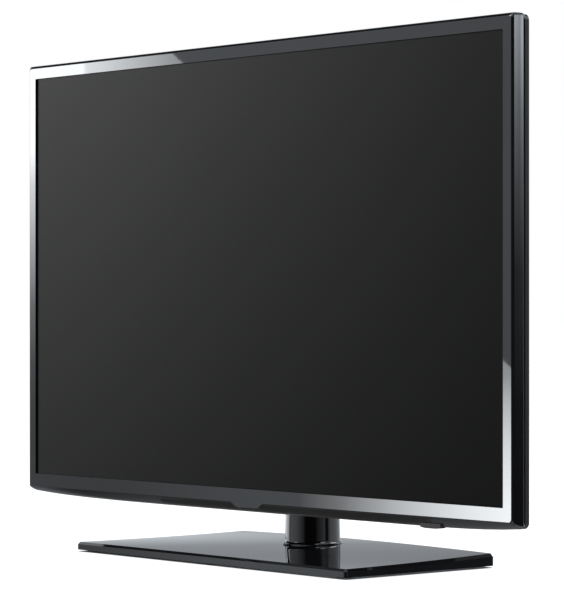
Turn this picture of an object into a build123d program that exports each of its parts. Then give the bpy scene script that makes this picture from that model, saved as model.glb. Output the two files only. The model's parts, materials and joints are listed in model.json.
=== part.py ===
from build123d import *
from math import atan, degrees
import os

# Flat screen television on a swivelling stand, in millimetres, +Z up.
# X runs along the screen and Y from the viewer to the wall.
# The origin is on the floor under the base's middle.
# A "depth" is a distance behind the flat front face of the frame.

# Driving sizes: the picture and the frame round it
picture_width = 1020.0
picture_height = 574.0
face_side = 15.0
face_top = 15.5
face_bottom = 16.6
bevel_side = 4.0
bevel_bottom = 10.0
bevel_depth = 3.7
frame_depth = 20.0
set_depth = 94.0
set_lift = 70.4

# Driving sizes: the stand
base_front_width = 596.0
base_rear_width = 540.0
base_overhang = 71.0
neck_axis_depth = 112.0
base_behind_neck = 88.0
neck_radius = 35.7
swivel_limit = 20.0

# Walls and clearances that several pieces share
wall = 2.5
slip = 0.5
seat_gap = 0.3
thread_gap = 0.05
running_gap = 0.05
overrun = 10.0
board_thick = 1.6

# Round pieces that repeat or are hidden are drawn with flats: few on screws, more on larger ones
small_sides = 6
round_sides = 12

# Places that follow from them
base_depth = base_overhang + neck_axis_depth + base_behind_neck
face_y = base_overhang - base_depth / 2
neck_y = face_y + neck_axis_depth
picture_bottom = set_lift + bevel_bottom + face_bottom
picture_mid = picture_bottom + picture_height / 2
set_width = picture_width + 2 * (face_side + bevel_side)
set_top = picture_bottom + picture_height + face_top + bevel_side
set_height = set_top - set_lift
set_mid = (set_top + set_lift) / 2
set_half = set_width / 2
face_low = set_lift + bevel_bottom
face_high = set_top - bevel_side

finished = []


def behind(depth):
    # Upright plane at a depth; its sketches read X and Z as the viewer sees them.
    return Plane.XZ.offset(-(face_y + depth))


def slab(front, back, width, height, centre=(0, 0), radius=0, mode=Mode.ADD):
    # Upright plate between two depths.
    with BuildSketch(behind(back)) as outline:
        with Locations(centre):
            if radius:
                RectangleRounded(width, height, radius)
            else:
                Rectangle(width, height)
    extrude(outline.sketch, amount=back - front, mode=mode)


def block(left, right, front, back, bottom, top, mode=Mode.ADD):
    # Box given by its six sides.
    centre = ((left + right) / 2, (bottom + top) / 2)
    slab(front, back, right - left, top - bottom, centre, mode=mode)


def discs(plane, radius, places, sides=0):
    # Equal circles, or with sides given equal polygons, at places on a plane.
    with BuildSketch(plane) as outline:
        with Locations(*places):
            if sides:
                RegularPolygon(radius, sides)
            else:
                Circle(radius)
    return outline.sketch


def pegs(front, back, radius, places, taper=0, mode=Mode.ADD, sides=0):
    # Round pegs or holes that run from the back depth forward, at (X, Z) places.
    outline = discs(behind(back), radius, places, sides)
    extrude(outline, amount=back - front, taper=taper, mode=mode)


def posts(bottom, top, radius, places, mode=Mode.ADD, sides=0):
    # Round posts or holes that stand between two heights, at (X, Y) places.
    outline = discs(Plane.XY.offset(bottom), radius, places, sides)
    extrude(outline, amount=top - bottom, mode=mode)


def side_pegs(left, right, radius, places, mode=Mode.ADD):
    # Round pegs or holes along X, at (depth, Z) places.
    with BuildSketch(Plane.YZ.offset(left)) as outline:
        with Locations(*[(face_y + depth, height) for depth, height in places]):
            Circle(radius)
    extrude(outline.sketch, amount=right - left, mode=mode)


def rounded(depth, width, height, middle, radius):
    # One upright outline for a loft.
    with BuildSketch(behind(depth)) as outline:
        with Locations((0, middle)):
            RectangleRounded(width, height, radius)
    return outline.sketch


def strip(line_points, width, left, right):
    # Thin bent strip: a line in depth and Z, given a thickness and run along X.
    with BuildSketch(Plane.YZ.offset(left)) as section:
        with BuildLine() as path:
            Polyline(*[(face_y + depth, height) for depth, height in line_points])
        trace(path.line, line_width=width)
    extrude(section.sketch, amount=right - left)


def finish(builder, name):
    builder.part.label = name
    finished.append(builder.part)


# Front frame: a flat face with a bevel round it, a side wall, and a lip over the glass
face_corner = 3.0
outer_corner = 9.0
glass_depth = 4.6
tab_top_width = 70.0
tab_foot_width = 47.0
tab_drop = 6.6
tab_corner = 3.0

# The receiver's window in the frame's underside
window_inset = 171.0
window_x = set_half - window_inset
window_width = 46.0
window_front = 5.2
window_thick = 8.0
window_hang = 3.0
window_flange = 1.6
window_neck = 0.6

with BuildPart() as front_bezel:
    face_outline = rounded(
        0,
        set_width - 2 * bevel_side,
        face_high - face_low,
        (face_high + face_low) / 2,
        face_corner,
    )
    bevel_outline = rounded(bevel_depth, set_width, set_height, set_mid, outer_corner)
    loft([face_outline, bevel_outline], ruled=True)
    slab(bevel_depth, frame_depth, set_width, set_height, (0, set_mid), outer_corner)
    with BuildSketch(behind(bevel_depth)) as tab:
        with BuildLine():
            Polyline(
                (-tab_top_width / 2, face_low + tab_corner),
                (-tab_top_width / 2, face_low),
                (-tab_foot_width / 2, face_low - tab_drop),
                (tab_foot_width / 2, face_low - tab_drop),
                (tab_top_width / 2, face_low),
                (tab_top_width / 2, face_low + tab_corner),
                close=True,
            )
        make_face()
        fillet(tab.vertices().group_by(Axis.Y)[0], tab_corner)
    extrude(amount=bevel_depth)
    slab(
        glass_depth,
        frame_depth + overrun,
        set_width - 2 * wall,
        set_height - 2 * wall,
        (0, set_mid),
        outer_corner - wall,
        Mode.SUBTRACT,
    )
    slab(-overrun, frame_depth, picture_width, picture_height, (0, picture_mid), mode=Mode.SUBTRACT)
    slab(
        window_front,
        window_front + window_thick,
        window_width,
        overrun,
        (window_x, set_lift),
        mode=Mode.SUBTRACT,
    )
finish(front_bezel, "front_bezel")

with BuildPart() as sensor_window:
    window_low = set_lift - window_hang
    window_seat = set_lift + wall
    window_half = window_width / 2 - seat_gap
    with BuildSketch(behind(window_front + window_thick - seat_gap)):
        with BuildLine():
            Polyline(
                (window_x - window_half, set_lift - window_neck),
                (window_x - window_half, window_seat),
                (window_x + window_half, window_seat),
                (window_x + window_half, set_lift - window_neck),
            )
            ThreePointArc(
                (window_x + window_half, set_lift - window_neck),
                (window_x, window_low),
                (window_x - window_half, set_lift - window_neck),
            )
        make_face()
    extrude(amount=window_thick - 2 * seat_gap)
    block(
        window_x - window_width / 2 - window_flange,
        window_x + window_width / 2 + window_flange,
        window_front - seat_gap,
        window_front + window_thick + window_flange,
        window_seat,
        window_seat + window_flange,
    )
finish(sensor_window, "sensor_window")

receiver_width = 30.0
receiver_height = 8.0

with BuildPart() as receiver_board:
    receiver_foot = window_seat + window_flange
    receiver_front = window_front + window_thick / 2
    eye_radius = receiver_height / 4
    eye_place = (window_x, receiver_foot + receiver_height / 2)
    block(
        window_x - receiver_width / 2,
        window_x + receiver_width / 2,
        receiver_front,
        receiver_front + board_thick,
        receiver_foot,
        receiver_foot + receiver_height,
    )
    pegs(receiver_front - eye_radius, receiver_front, eye_radius, [eye_place])
finish(receiver_board, "receiver_board")

# Picture glass and the plastic frame that carries it
glass_thick = 1.4
glass_lap = 7.0
glass_back = glass_depth + glass_thick
ledge_thick = 2.0
ledge_back = glass_back + ledge_thick
ledge_clear = 1.0

# Steel pan behind the picture, which carries everything else
pan_lap = 5.0
pan_depth = 31.0
pan_sheet = 1.0
pan_corner = 3.0
pan_width = picture_width + 2 * pan_lap
pan_height = picture_height + 2 * pan_lap
frame_wall = 3.0
panel_frame_back = 24.0

with BuildPart() as picture_glass:
    slab(
        glass_depth,
        glass_back,
        picture_width + 2 * glass_lap,
        picture_height + 2 * glass_lap,
        (0, picture_mid),
    )
finish(picture_glass, "picture_glass")

with BuildPart() as panel_frame:
    slab(
        glass_back,
        panel_frame_back,
        pan_width + 2 * (slip + frame_wall),
        pan_height + 2 * (slip + frame_wall),
        (0, picture_mid),
        pan_corner + frame_wall,
    )
    slab(
        ledge_back,
        panel_frame_back + overrun,
        pan_width + 2 * slip,
        pan_height + 2 * slip,
        (0, picture_mid),
        pan_corner,
        Mode.SUBTRACT,
    )
    slab(
        -overrun,
        panel_frame_back,
        picture_width + 2 * ledge_clear,
        picture_height + 2 * ledge_clear,
        (0, picture_mid),
        mode=Mode.SUBTRACT,
    )
finish(panel_frame, "panel_frame")

# Light sheets behind the glass, one upon the other
sheet_width = pan_width - 2 * (pan_sheet + slip)
sheet_height = pan_height - 2 * (pan_sheet + slip)
sheet_corner = pan_corner - pan_sheet
film_thick = 0.3
plate_thick = 2.0


def light_sheet(front, thick):
    with BuildPart() as sheet:
        slab(front, front + thick, sheet_width, sheet_height, (0, picture_mid), sheet_corner)
    return sheet


prism_front = ledge_back + film_thick
diffuser_front = prism_front + film_thick
plate_front = diffuser_front + film_thick
tray_front = plate_front + plate_thick

brightness_film = light_sheet(ledge_back, film_thick)
finish(brightness_film, "brightness_film")
prism_film = light_sheet(prism_front, film_thick)
finish(prism_film, "prism_film")
diffuser_film = light_sheet(diffuser_front, film_thick)
finish(diffuser_film, "diffuser_film")
diffuser_plate = light_sheet(plate_front, plate_thick)
finish(diffuser_plate, "diffuser_plate")

# Light strips on the pan's floor, in rows, each lamp under its own lens
lamp_rows = 4
lamp_columns = 6
lamp_side_margin = 85.0
lamp_top_margin = 71.75
lamp_pitch = (picture_width - 2 * lamp_side_margin) / (lamp_columns - 1)
strip_pitch = (picture_height - 2 * lamp_top_margin) / (lamp_rows - 1)
strip_thick = 1.0
strip_width = 18.0
strip_end = 24.0
lens_radius = 8.0
lens_height = 5.0
lens_slope_angle = 25.0
floor_front = pan_depth - pan_sheet
strip_front = floor_front - strip_thick
strip_length = lamp_pitch * (lamp_columns - 1) + 2 * strip_end

with BuildPart() as led_strips:
    with BuildSketch(behind(floor_front)):
        with Locations((0, picture_mid)):
            with GridLocations(lamp_pitch, strip_pitch, 1, lamp_rows):
                Rectangle(strip_length, strip_width)
    extrude(amount=strip_thick)
finish(led_strips, "led_strips")

with BuildPart() as led_lenses:
    with BuildSketch(behind(strip_front)):
        with Locations((0, picture_mid)):
            with GridLocations(lamp_pitch, strip_pitch, lamp_columns, lamp_rows):
                RegularPolygon(lens_radius, small_sides)
    extrude(amount=lens_height, taper=lens_slope_angle)
finish(led_lenses, "led_lenses")

# White tray with sloping sides that sends the light forward
tray_sheet = 0.4
tray_flange = 6.0
tray_slope = 34.0
tray_mouth = (sheet_width - 2 * tray_flange, sheet_height - 2 * tray_flange)
tray_foot = (tray_mouth[0] - 2 * tray_slope, tray_mouth[1] - 2 * tray_slope)
tray_floor = strip_front - tray_sheet


def tray_loft(front, back, shrink, mode):
    mouth = rounded(front, tray_mouth[0] - shrink, tray_mouth[1] - shrink, picture_mid, tray_flange)
    foot = rounded(back, tray_foot[0] - shrink, tray_foot[1] - shrink, picture_mid, tray_flange)
    loft([mouth, foot], ruled=True, mode=mode)


with BuildPart() as reflector_tray:
    slab(tray_front, tray_front + tray_sheet, sheet_width, sheet_height, (0, picture_mid), sheet_corner)
    tray_loft(tray_front, strip_front, 0, Mode.ADD)
    tray_loft(tray_front, tray_floor, 4 * tray_sheet, Mode.SUBTRACT)
    with BuildSketch(behind(strip_front)):
        with Locations((0, picture_mid)):
            with GridLocations(lamp_pitch, strip_pitch, lamp_columns, lamp_rows):
                RegularPolygon(lens_radius + slip, small_sides)
    extrude(amount=lens_height, mode=Mode.SUBTRACT)
finish(reflector_tray, "reflector_tray")

# Cones that keep the diffuser plate from sagging onto the lamps
cone_radius = 4.0
cone_tip = 1.5
cone_columns = 3
cone_rows = 2

with BuildPart() as diffuser_posts:
    with BuildSketch(behind(tray_floor)):
        with Locations((0, picture_mid)):
            with GridLocations(2 * lamp_pitch, 2 * strip_pitch, cone_columns, cone_rows):
                RegularPolygon(cone_radius, small_sides)
    cone_height = tray_floor - tray_front
    extrude(amount=cone_height, taper=degrees(atan((cone_radius - cone_tip) / cone_height)))
finish(diffuser_posts, "diffuser_posts")

# Rear cover: a rim that carries on the frame's side, then slopes to a flat back
rim_back = 27.0
rim_step = 0.8
inset_side = 100.0
inset_top = 50.0
inset_bottom = 60.0
hip_corner = 24.0
back_low = set_lift + inset_bottom
back_high = set_top - inset_top
back_inner = set_depth - wall

# Screws that hold the cover to the pan
screw_radius = 1.5
screw_head = 3.2
head_thick = 2.4
screw_reach = 5.0
boss_radius = 6.5
pocket_radius = 4.5
boss_floor = 3.0
side_screw_x = pan_width / 2 - 2 * boss_radius
side_screw_shares = (-0.38, 0.38)
low_screw_shares = (-0.44, -0.2, 0.2, 0.44)
high_screw_shares = (-0.45, 0.0, 0.45)
low_screw_z = picture_mid - pan_height / 2 + 2 * boss_radius
high_screw_z = picture_mid + pan_height / 2 - 2 * boss_radius
cover_screw_places = [
    (side * side_screw_x, picture_mid + share * pan_height)
    for side in (-1, 1)
    for share in side_screw_shares
]
cover_screw_places += [(share * pan_width, low_screw_z) for share in low_screw_shares]
cover_screw_places += [(share * pan_width, high_screw_z) for share in high_screw_shares]

# Wall mount: four threaded posts on the pan, reached through holes in the cover
vesa_pitch = 400.0
vesa_thread = 3.4
vesa_post = 7.0
vesa_hole = 10.0
vesa_sink = 1.0
vesa_end = set_depth - vesa_sink
vesa_places = [(x * vesa_pitch / 2, set_mid + z * vesa_pitch / 2) for x in (-1, 1) for z in (-1, 1)]

# Where the stand is screwed on: a pocket in the cover with the bracket behind it
pocket_half = 75.0
pocket_height = 155.6
pocket_top = set_lift + pocket_height
pocket_depth = 76.0
pocket_inner = pocket_depth - wall
bracket_half = 66.0
bracket_height = 96.0
bracket_drop = 6.0
bracket_high = pocket_top - bracket_drop
bracket_low = bracket_high - bracket_height
bracket_steel = 3.0
bracket_foot = 20.0
neck_screw_radius = 3.0
neck_screw_head = 6.0
neck_screw_thick = 4.0
neck_screw_reach = 16.0
upper_screw_x = 48.0
upper_screw_drop = 26.0
lower_screw_x = 22.0
lower_screw_drop = 76.0
neck_screw_rows = (
    (upper_screw_x, pocket_top - upper_screw_drop),
    (lower_screw_x, pocket_top - lower_screw_drop),
)
neck_screw_places = [(side * x, z) for x, z in neck_screw_rows for side in (-1, 1)]

# Bay for the sockets, open to the back and to the side
bay_inset = 199.0
bay_wall_x = bay_inset - set_half
bay_depth = 40.0
bay_lift = 119.6
bay_height = 202.0
bay_low = set_lift + bay_lift
bay_high = bay_low + bay_height
far_side = set_half + overrun

# Small bay for the mains inlet on the other side
mains_inset = 191.0
mains_wall_x = set_half - mains_inset
mains_depth = 40.0
mains_rise = 100.0
mains_height = 60.0
mains_low = bay_low + mains_rise
mains_high = mains_low + mains_height

# Circuit boards and what stands on them
board_lift = 13.0
board_front = pan_depth + board_lift
board_back = board_front + board_thick
bracket_end = bracket_half + bracket_foot
main_gap = 36.0
main_left = bay_wall_x + wall + 3 * slip
main_width = -bracket_end - main_gap - main_left
main_rise = 8.0
main_low = bay_low + main_rise
main_height = 196.0
power_gap = 12.0
power_left = bracket_end + power_gap
power_right = mains_wall_x - wall - 3 * slip
power_width = power_right - power_left
power_rise = 10.0
power_low = pocket_top + power_rise
power_height = 210.0
timing_lift = 4.0
timing_front = pan_depth + timing_lift
timing_back = timing_front + board_thick
timing_width = 350.0
timing_height = 46.0
timing_drop = 56.5
timing_low = set_top - timing_drop - timing_height
spacer_radius = 3.8
board_edge = 7.0
socket_strip = 24.0

# Sockets along the bay: height of each above the bay's floor, mouth sizes and shell
socket_shell = 0.8
socket_proud = 1.0
socket_depth = 14.0
usb_wide = 12.6
usb_high = 5.2
usb_rise = 172.0
hdmi_wide = 14.2
hdmi_high = 4.8
hdmi_rise = 122.0
hdmi_pitch = 26.0
network_wide = 12.0
network_high = 9.0
network_rise = 96.0
av_count = 3
av_rise = 32.0
av_pitch = 18.0
antenna_rise = 15.0
hdmi_rises = (hdmi_rise, hdmi_rise + hdmi_pitch)
av_rises = [av_rise + av_pitch * index for index in range(av_count)]
av_radius = 4.1
av_bore = 1.8
av_proud = 9.0
antenna_radius = 4.7
antenna_proud = 11.0
antenna_bore = 0.8
jack_block = 13.0

# Mains inlet
inlet_wide = 15.6
inlet_high = 8.6
inlet_shell = 2.0
inlet_length = 20.0
inlet_reach = 13.0
inlet_pin = 1.2
inlet_pin_pitch = 8.6
inlet_z = (mains_low + mains_high) / 2
inlet_half_wide = inlet_wide / 2 + inlet_shell
inlet_half_high = inlet_high / 2 + inlet_shell
inlet_middle = board_back + inlet_half_high

# Small stick at the back that works the menus: it tilts four ways and presses
jog_inset = 169.0
jog_lift = 94.6
jog_x = set_half - jog_inset
jog_z = set_lift + jog_lift
jog_board_back = 80.0
jog_board_width = 34.0
jog_board_height = 18.0
jog_boss_pitch = 26.0
jog_boss_radius = 2.8
jog_case = 13.4
jog_case_back = 86.4
jog_case_lid = 0.8
jog_cave = 5.6
jog_window = 4.2
jog_pivot = 83.0
jog_pin = 0.6
ring_outer = 4.6
ring_inner = 3.4
ring_thick = 1.6
yoke_radius = 2.6
yoke_length = 3.0
stick_radius = 1.3
stick_tail = 1.7
stick_flange = 2.2
stick_flange_thick = 0.8
press_travel = 0.6
press_gap = 0.1
dish_radius = 14.0
dish_floor = 90.0
dish_slope_angle = 45.0
dish_hole = 4.6
knob_radius = 5.5
knob_under = 92.3
knob_back = 97.0
knob_grip = 1.2
jog_boss_places = [(jog_x + side * jog_boss_pitch / 2, jog_z) for side in (-1, 1)]

# Slots in the cover: vents along the top, sound slots under the speakers
vent_count = 10
vent_pitch = 20.0
vent_width = 4.0
vent_height = 20.0
vent_inset = 319.0
vent_x = set_half - vent_inset
sound_count = 6
sound_pitch = 12.0
sound_width = 3.5
sound_height = 14.0
speaker_inset = 199.0
speaker_x = set_half - speaker_inset


def slot_row(centre, count, pitch, width, height, front, back):
    # A row of upright slots cut through the cover.
    with BuildSketch(behind(back)) as slots:
        with Locations(centre):
            with GridLocations(pitch, pitch, count, 1):
                Rectangle(width, height)
    extrude(slots.sketch, amount=back - front, mode=Mode.SUBTRACT)


def sloping_body(back, shrink):
    # Four slopes that rise from the rim to a flat back, with rounded hips between them.
    # The inside is the same form, drawn in by a wall.
    half = set_half - rim_step - shrink
    end_half = set_half - inset_side - shrink
    low = set_lift + rim_step + shrink
    high = set_top - rim_step - shrink
    with BuildPart() as body:
        with BuildSketch(Plane.XY.offset(low)):
            with BuildLine():
                Polyline(
                    (-half, face_y + rim_back),
                    (half, face_y + rim_back),
                    (end_half, face_y + back),
                    (-end_half, face_y + back),
                    close=True,
                )
            make_face()
        extrude(amount=high - low)
        with BuildSketch(Plane.YZ.offset(-half)):
            with BuildLine():
                Polyline(
                    (face_y + rim_back, low),
                    (face_y + rim_back, high),
                    (face_y + back, back_high - shrink),
                    (face_y + back, back_low + shrink),
                    close=True,
                )
            make_face()
        extrude(amount=2 * half, mode=Mode.INTERSECT)
        # The hips are the only edges that lean along all three axes
        hips = body.edges().filter_by(lambda edge: min(abs(part) for part in edge.tangent_at(0)) > 1 / 100)
        fillet(hips, hip_corner - shrink)
    return body.part


def socket_window(wide, high, rise):
    # Hole in the bay's wall that a socket looks through.
    around = socket_shell + seat_gap
    middle = board_back + socket_shell + high / 2
    block(
        bay_wall_x - overrun,
        bay_wall_x + wall + slip,
        middle - high / 2 - around,
        middle + high / 2 + around,
        bay_low + rise - wide / 2 - around,
        bay_low + rise + wide / 2 + around,
        Mode.SUBTRACT,
    )


jack_middle = board_back + jack_block / 2

cover_inside = sloping_body(back_inner, wall)
cover_outside = sloping_body(set_depth, 0)

# The hollow inside the cover, less what stays solid: screw bosses and the walls of each bay
with BuildPart() as cover_hollow:
    slab(
        frame_depth - overrun,
        rim_back,
        set_width - 2 * (rim_step + wall),
        set_height - 2 * (rim_step + wall),
        (0, set_mid),
        outer_corner - rim_step - wall,
    )
    add(cover_inside)
    pegs(pan_depth, set_depth, boss_radius, cover_screw_places, mode=Mode.SUBTRACT, sides=small_sides)
    block(
        -pocket_half - wall,
        pocket_half + wall,
        pocket_inner,
        set_depth,
        0,
        pocket_top + wall,
        Mode.SUBTRACT,
    )
    block(
        -far_side,
        bay_wall_x + wall,
        bay_depth - wall,
        set_depth,
        bay_low - wall,
        bay_high + wall,
        Mode.SUBTRACT,
    )
    block(
        mains_wall_x - wall,
        far_side,
        mains_depth - wall,
        set_depth,
        mains_low - wall,
        mains_high + wall,
        Mode.SUBTRACT,
    )
    pegs(
        dish_floor - wall,
        set_depth,
        dish_radius + wall,
        [(jog_x, jog_z)],
        mode=Mode.SUBTRACT,
        sides=round_sides,
    )
    pegs(jog_board_back, set_depth, jog_boss_radius, jog_boss_places, mode=Mode.SUBTRACT, sides=small_sides)

with BuildPart() as rear_cover:
    slab(
        frame_depth,
        rim_back,
        set_width - 2 * rim_step,
        set_height - 2 * rim_step,
        (0, set_mid),
        outer_corner - rim_step,
    )
    add(cover_outside)
    add(cover_hollow.part, mode=Mode.SUBTRACT)
    pegs(
        pan_depth + boss_floor,
        set_depth + overrun,
        pocket_radius,
        cover_screw_places,
        mode=Mode.SUBTRACT,
        sides=round_sides,
    )
    pegs(
        frame_depth,
        set_depth,
        screw_radius + seat_gap,
        cover_screw_places,
        mode=Mode.SUBTRACT,
        sides=small_sides,
    )
    pegs(back_inner - overrun, set_depth + overrun, vesa_hole, vesa_places, mode=Mode.SUBTRACT)
    block(-pocket_half, pocket_half, pocket_depth, set_depth + overrun, 0, pocket_top, Mode.SUBTRACT)
    pegs(
        pocket_inner - overrun,
        set_depth,
        neck_screw_radius + slip,
        neck_screw_places,
        mode=Mode.SUBTRACT,
        sides=small_sides,
    )
    block(-far_side, bay_wall_x, bay_depth, set_depth + overrun, bay_low, bay_high, Mode.SUBTRACT)
    block(mains_wall_x, far_side, mains_depth, set_depth + overrun, mains_low, mains_high, Mode.SUBTRACT)
    socket_window(usb_wide, usb_high, usb_rise)
    socket_window(network_wide, network_high, network_rise)
    for rise in hdmi_rises:
        socket_window(hdmi_wide, hdmi_high, rise)
    for radius, rises in ((av_radius, av_rises), (antenna_radius, [antenna_rise])):
        jack_places = [(jack_middle, bay_low + rise) for rise in rises]
        side_pegs(
            bay_wall_x - overrun,
            bay_wall_x + wall + slip,
            radius + seat_gap,
            jack_places,
            Mode.SUBTRACT,
        )
    block(
        mains_wall_x - wall - slip,
        mains_wall_x + overrun,
        inlet_middle - inlet_half_high - seat_gap,
        inlet_middle + inlet_half_high + seat_gap,
        inlet_z - inlet_half_wide - seat_gap,
        inlet_z + inlet_half_wide + seat_gap,
        Mode.SUBTRACT,
    )
    pegs(dish_floor, set_depth, dish_radius, [(jog_x, jog_z)], dish_slope_angle, Mode.SUBTRACT)
    pegs(jog_board_back, set_depth, dish_hole, [(jog_x, jog_z)], mode=Mode.SUBTRACT)
    pegs(
        jog_board_back - wall,
        dish_floor - wall,
        screw_radius,
        jog_boss_places,
        mode=Mode.SUBTRACT,
        sides=small_sides,
    )
    vent_z = set_top - inset_top / 2
    sound_z = set_lift + inset_bottom / 2
    for side in (-1, 1):
        slot_row(
            (side * vent_x, vent_z),
            vent_count,
            vent_pitch,
            vent_width,
            vent_height,
            pan_depth,
            set_depth,
        )
        slot_row(
            (side * speaker_x, sound_z),
            sound_count,
            sound_pitch,
            sound_width,
            sound_height,
            pan_depth,
            set_depth,
        )
finish(rear_cover, "rear_cover")

with BuildPart() as cover_screws:
    head_front = pan_depth + boss_floor
    pegs(head_front, head_front + head_thick, screw_head, cover_screw_places, sides=small_sides)
    pegs(pan_depth - screw_reach, head_front, screw_radius, cover_screw_places, sides=small_sides)
finish(cover_screws, "cover_screws")

# Pan: a shallow steel tray, with a bead pressed in each side of its floor and holes for its screws
bead_width = 14.0
bead_length = 300.0
bead_rise = 3.0
bead_inset = 135.0
bead_x = pan_width / 2 - bead_inset
bead_share = 0.36

with BuildPart() as back_chassis:
    slab(ledge_back, pan_depth, pan_width, pan_height, (0, picture_mid), pan_corner)
    slab(
        ledge_back - overrun,
        floor_front,
        pan_width - 2 * pan_sheet,
        pan_height - 2 * pan_sheet,
        (0, picture_mid),
        pan_corner - pan_sheet,
        Mode.SUBTRACT,
    )
    for side in (-1, 1):
        slab(
            floor_front,
            pan_depth + bead_rise,
            bead_length / 2,
            bead_width,
            (side * bead_x, picture_mid + bead_share * pan_height),
            bead_width / 3,
        )
    pegs(
        floor_front - overrun,
        pan_depth + overrun,
        screw_radius + thread_gap,
        cover_screw_places,
        mode=Mode.SUBTRACT,
        sides=small_sides,
    )
finish(back_chassis, "back_chassis")

with BuildPart() as wall_mount_bosses:
    pegs(pan_depth, vesa_end, vesa_post, vesa_places, sides=small_sides)
    pegs(pan_depth + wall, vesa_end + overrun, vesa_thread, vesa_places, mode=Mode.SUBTRACT)
finish(wall_mount_bosses, "wall_mount_bosses")

with BuildPart() as stand_bracket:
    with BuildSketch(Plane.XY.offset(bracket_low)):
        bracket_y = face_y + (pan_depth + pocket_inner) / 2
        with Locations((0, bracket_y)):
            Rectangle(2 * bracket_half, pocket_inner - pan_depth)
        with Locations((0, bracket_y - bracket_steel)):
            Rectangle(2 * (bracket_half - bracket_steel), pocket_inner - pan_depth, mode=Mode.SUBTRACT)
        with Locations((0, face_y + pan_depth + bracket_steel / 2)):
            with GridLocations(2 * bracket_half + bracket_foot, bracket_steel, 2, 1):
                Rectangle(bracket_foot, bracket_steel)
    extrude(amount=bracket_high - bracket_low)
    pegs(
        pocket_inner - overrun,
        pocket_inner,
        neck_screw_radius + thread_gap,
        neck_screw_places,
        mode=Mode.SUBTRACT,
        sides=small_sides,
    )
finish(stand_bracket, "stand_bracket")


def board_corners(left, low, width, height, left_inset=board_edge):
    # Screw places in the four corners of a board.
    return [
        (x, z)
        for x in (left + left_inset, left + width - board_edge)
        for z in (low + board_edge, low + height - board_edge)
    ]


main_places = board_corners(main_left, main_low, main_width, main_height, socket_strip)
power_places = board_corners(power_left, power_low, power_width, power_height)
timing_places = board_corners(-timing_width / 2, timing_low, timing_width, timing_height)

with BuildPart() as board_spacers:
    pegs(pan_depth, board_front, spacer_radius, main_places + power_places, sides=small_sides)
    pegs(pan_depth, timing_front, spacer_radius, timing_places, sides=small_sides)
    pegs(
        pan_depth + board_thick,
        board_front,
        screw_radius + thread_gap,
        main_places + power_places + timing_places,
        mode=Mode.SUBTRACT,
        sides=small_sides,
    )
finish(board_spacers, "board_spacers")

small_reach = 2.0

with BuildPart() as board_screws:
    jog_board_front = jog_board_back - board_thick
    for front, back, radius, places in (
        (board_back, board_back + head_thick, screw_head, main_places + power_places),
        (board_front - screw_reach, board_back, screw_radius, main_places + power_places),
        (timing_back, timing_back + head_thick, screw_head, timing_places),
        (timing_front - small_reach, timing_back, screw_radius, timing_places),
        (jog_board_front - head_thick, jog_board_front, screw_radius + slip, jog_boss_places),
        (jog_board_front, jog_board_back + small_reach, screw_radius - thread_gap, jog_boss_places),
    ):
        pegs(front, back, radius, places, sides=small_sides)
finish(board_screws, "board_screws")


def board(left, low, width, height, front, places):
    with BuildPart() as plate:
        block(left, left + width, front, front + board_thick, low, low + height)
        pegs(
            front - overrun,
            front + board_thick + overrun,
            screw_radius + thread_gap,
            places,
            mode=Mode.SUBTRACT,
            sides=small_sides,
        )
    return plate


main_board = board(main_left, main_low, main_width, main_height, board_front, main_places)
finish(main_board, "main_board")
power_board = board(power_left, power_low, power_width, power_height, board_front, power_places)
finish(power_board, "power_board")
timing_board = board(
    -timing_width / 2,
    timing_low,
    timing_width,
    timing_height,
    timing_front,
    timing_places,
)
finish(timing_board, "timing_board")

# Finned cooler on the main chip
cooler_size = 52.0
cooler_base = 3.0
cooler_height = 13.0
cooler_fins = 7
cooler_fin = 2.0
cooler_place = (main_left + main_width / 2, main_low + main_height / 2)

with BuildPart() as processor_heatsink:
    slab(board_back, board_back + cooler_base, cooler_size, cooler_size, cooler_place)
    with BuildSketch(behind(board_back + cooler_height)):
        with Locations(cooler_place):
            with GridLocations((cooler_size - cooler_fin) / (cooler_fins - 1), cooler_size, cooler_fins, 1):
                Rectangle(cooler_fin, cooler_size)
    extrude(amount=cooler_height - cooler_base)
finish(processor_heatsink, "processor_heatsink")

# Parts on the power board, placed by shares of the board from its middle
transformer_width = 44.0
transformer_tall = 40.0
transformer_height = 27.0
winding_radius = 17.0
winding_proud = 5.0
transformer_shares = ((-0.12, 0.24), (-0.12, -0.2))
capacitor_radius = 11.0
capacitor_height = 30.0
capacitor_shares = ((0.2, 0.3), (0.33, 0.3), (0.2, 0.05))
bar_width = 14.0
bar_tall = 60.0
bar_height = 26.0
bar_groove = 3.0
bar_shares = ((-0.34, 0.22), (-0.34, -0.2))
power_mid = (power_left + power_width / 2, power_low + power_height / 2)


def on_power_board(shares):
    return [(power_mid[0] + x * power_width, power_mid[1] + z * power_height) for x, z in shares]


with BuildPart() as transformers:
    for place in on_power_board(transformer_shares):
        slab(board_back, board_back + transformer_height, transformer_width, transformer_tall, place)
        pegs(
            board_back,
            board_back + transformer_height + winding_proud,
            winding_radius,
            [place],
            sides=round_sides,
        )
finish(transformers, "transformers")

with BuildPart() as power_capacitors:
    pegs(
        board_back,
        board_back + capacitor_height,
        capacitor_radius,
        on_power_board(capacitor_shares),
        sides=round_sides,
    )
finish(power_capacitors, "power_capacitors")

with BuildPart() as power_heatsinks:
    for place in on_power_board(bar_shares):
        slab(board_back, board_back + bar_height, bar_width, bar_tall, place)
        for side in (-1, 1):
            groove_place = (place[0] + side * bar_width / 2, place[1])
            slab(
                board_back + bar_groove,
                board_back + bar_height - bar_groove,
                2 * bar_groove,
                bar_tall,
                groove_place,
                mode=Mode.SUBTRACT,
            )
finish(power_heatsinks, "power_heatsinks")

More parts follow.
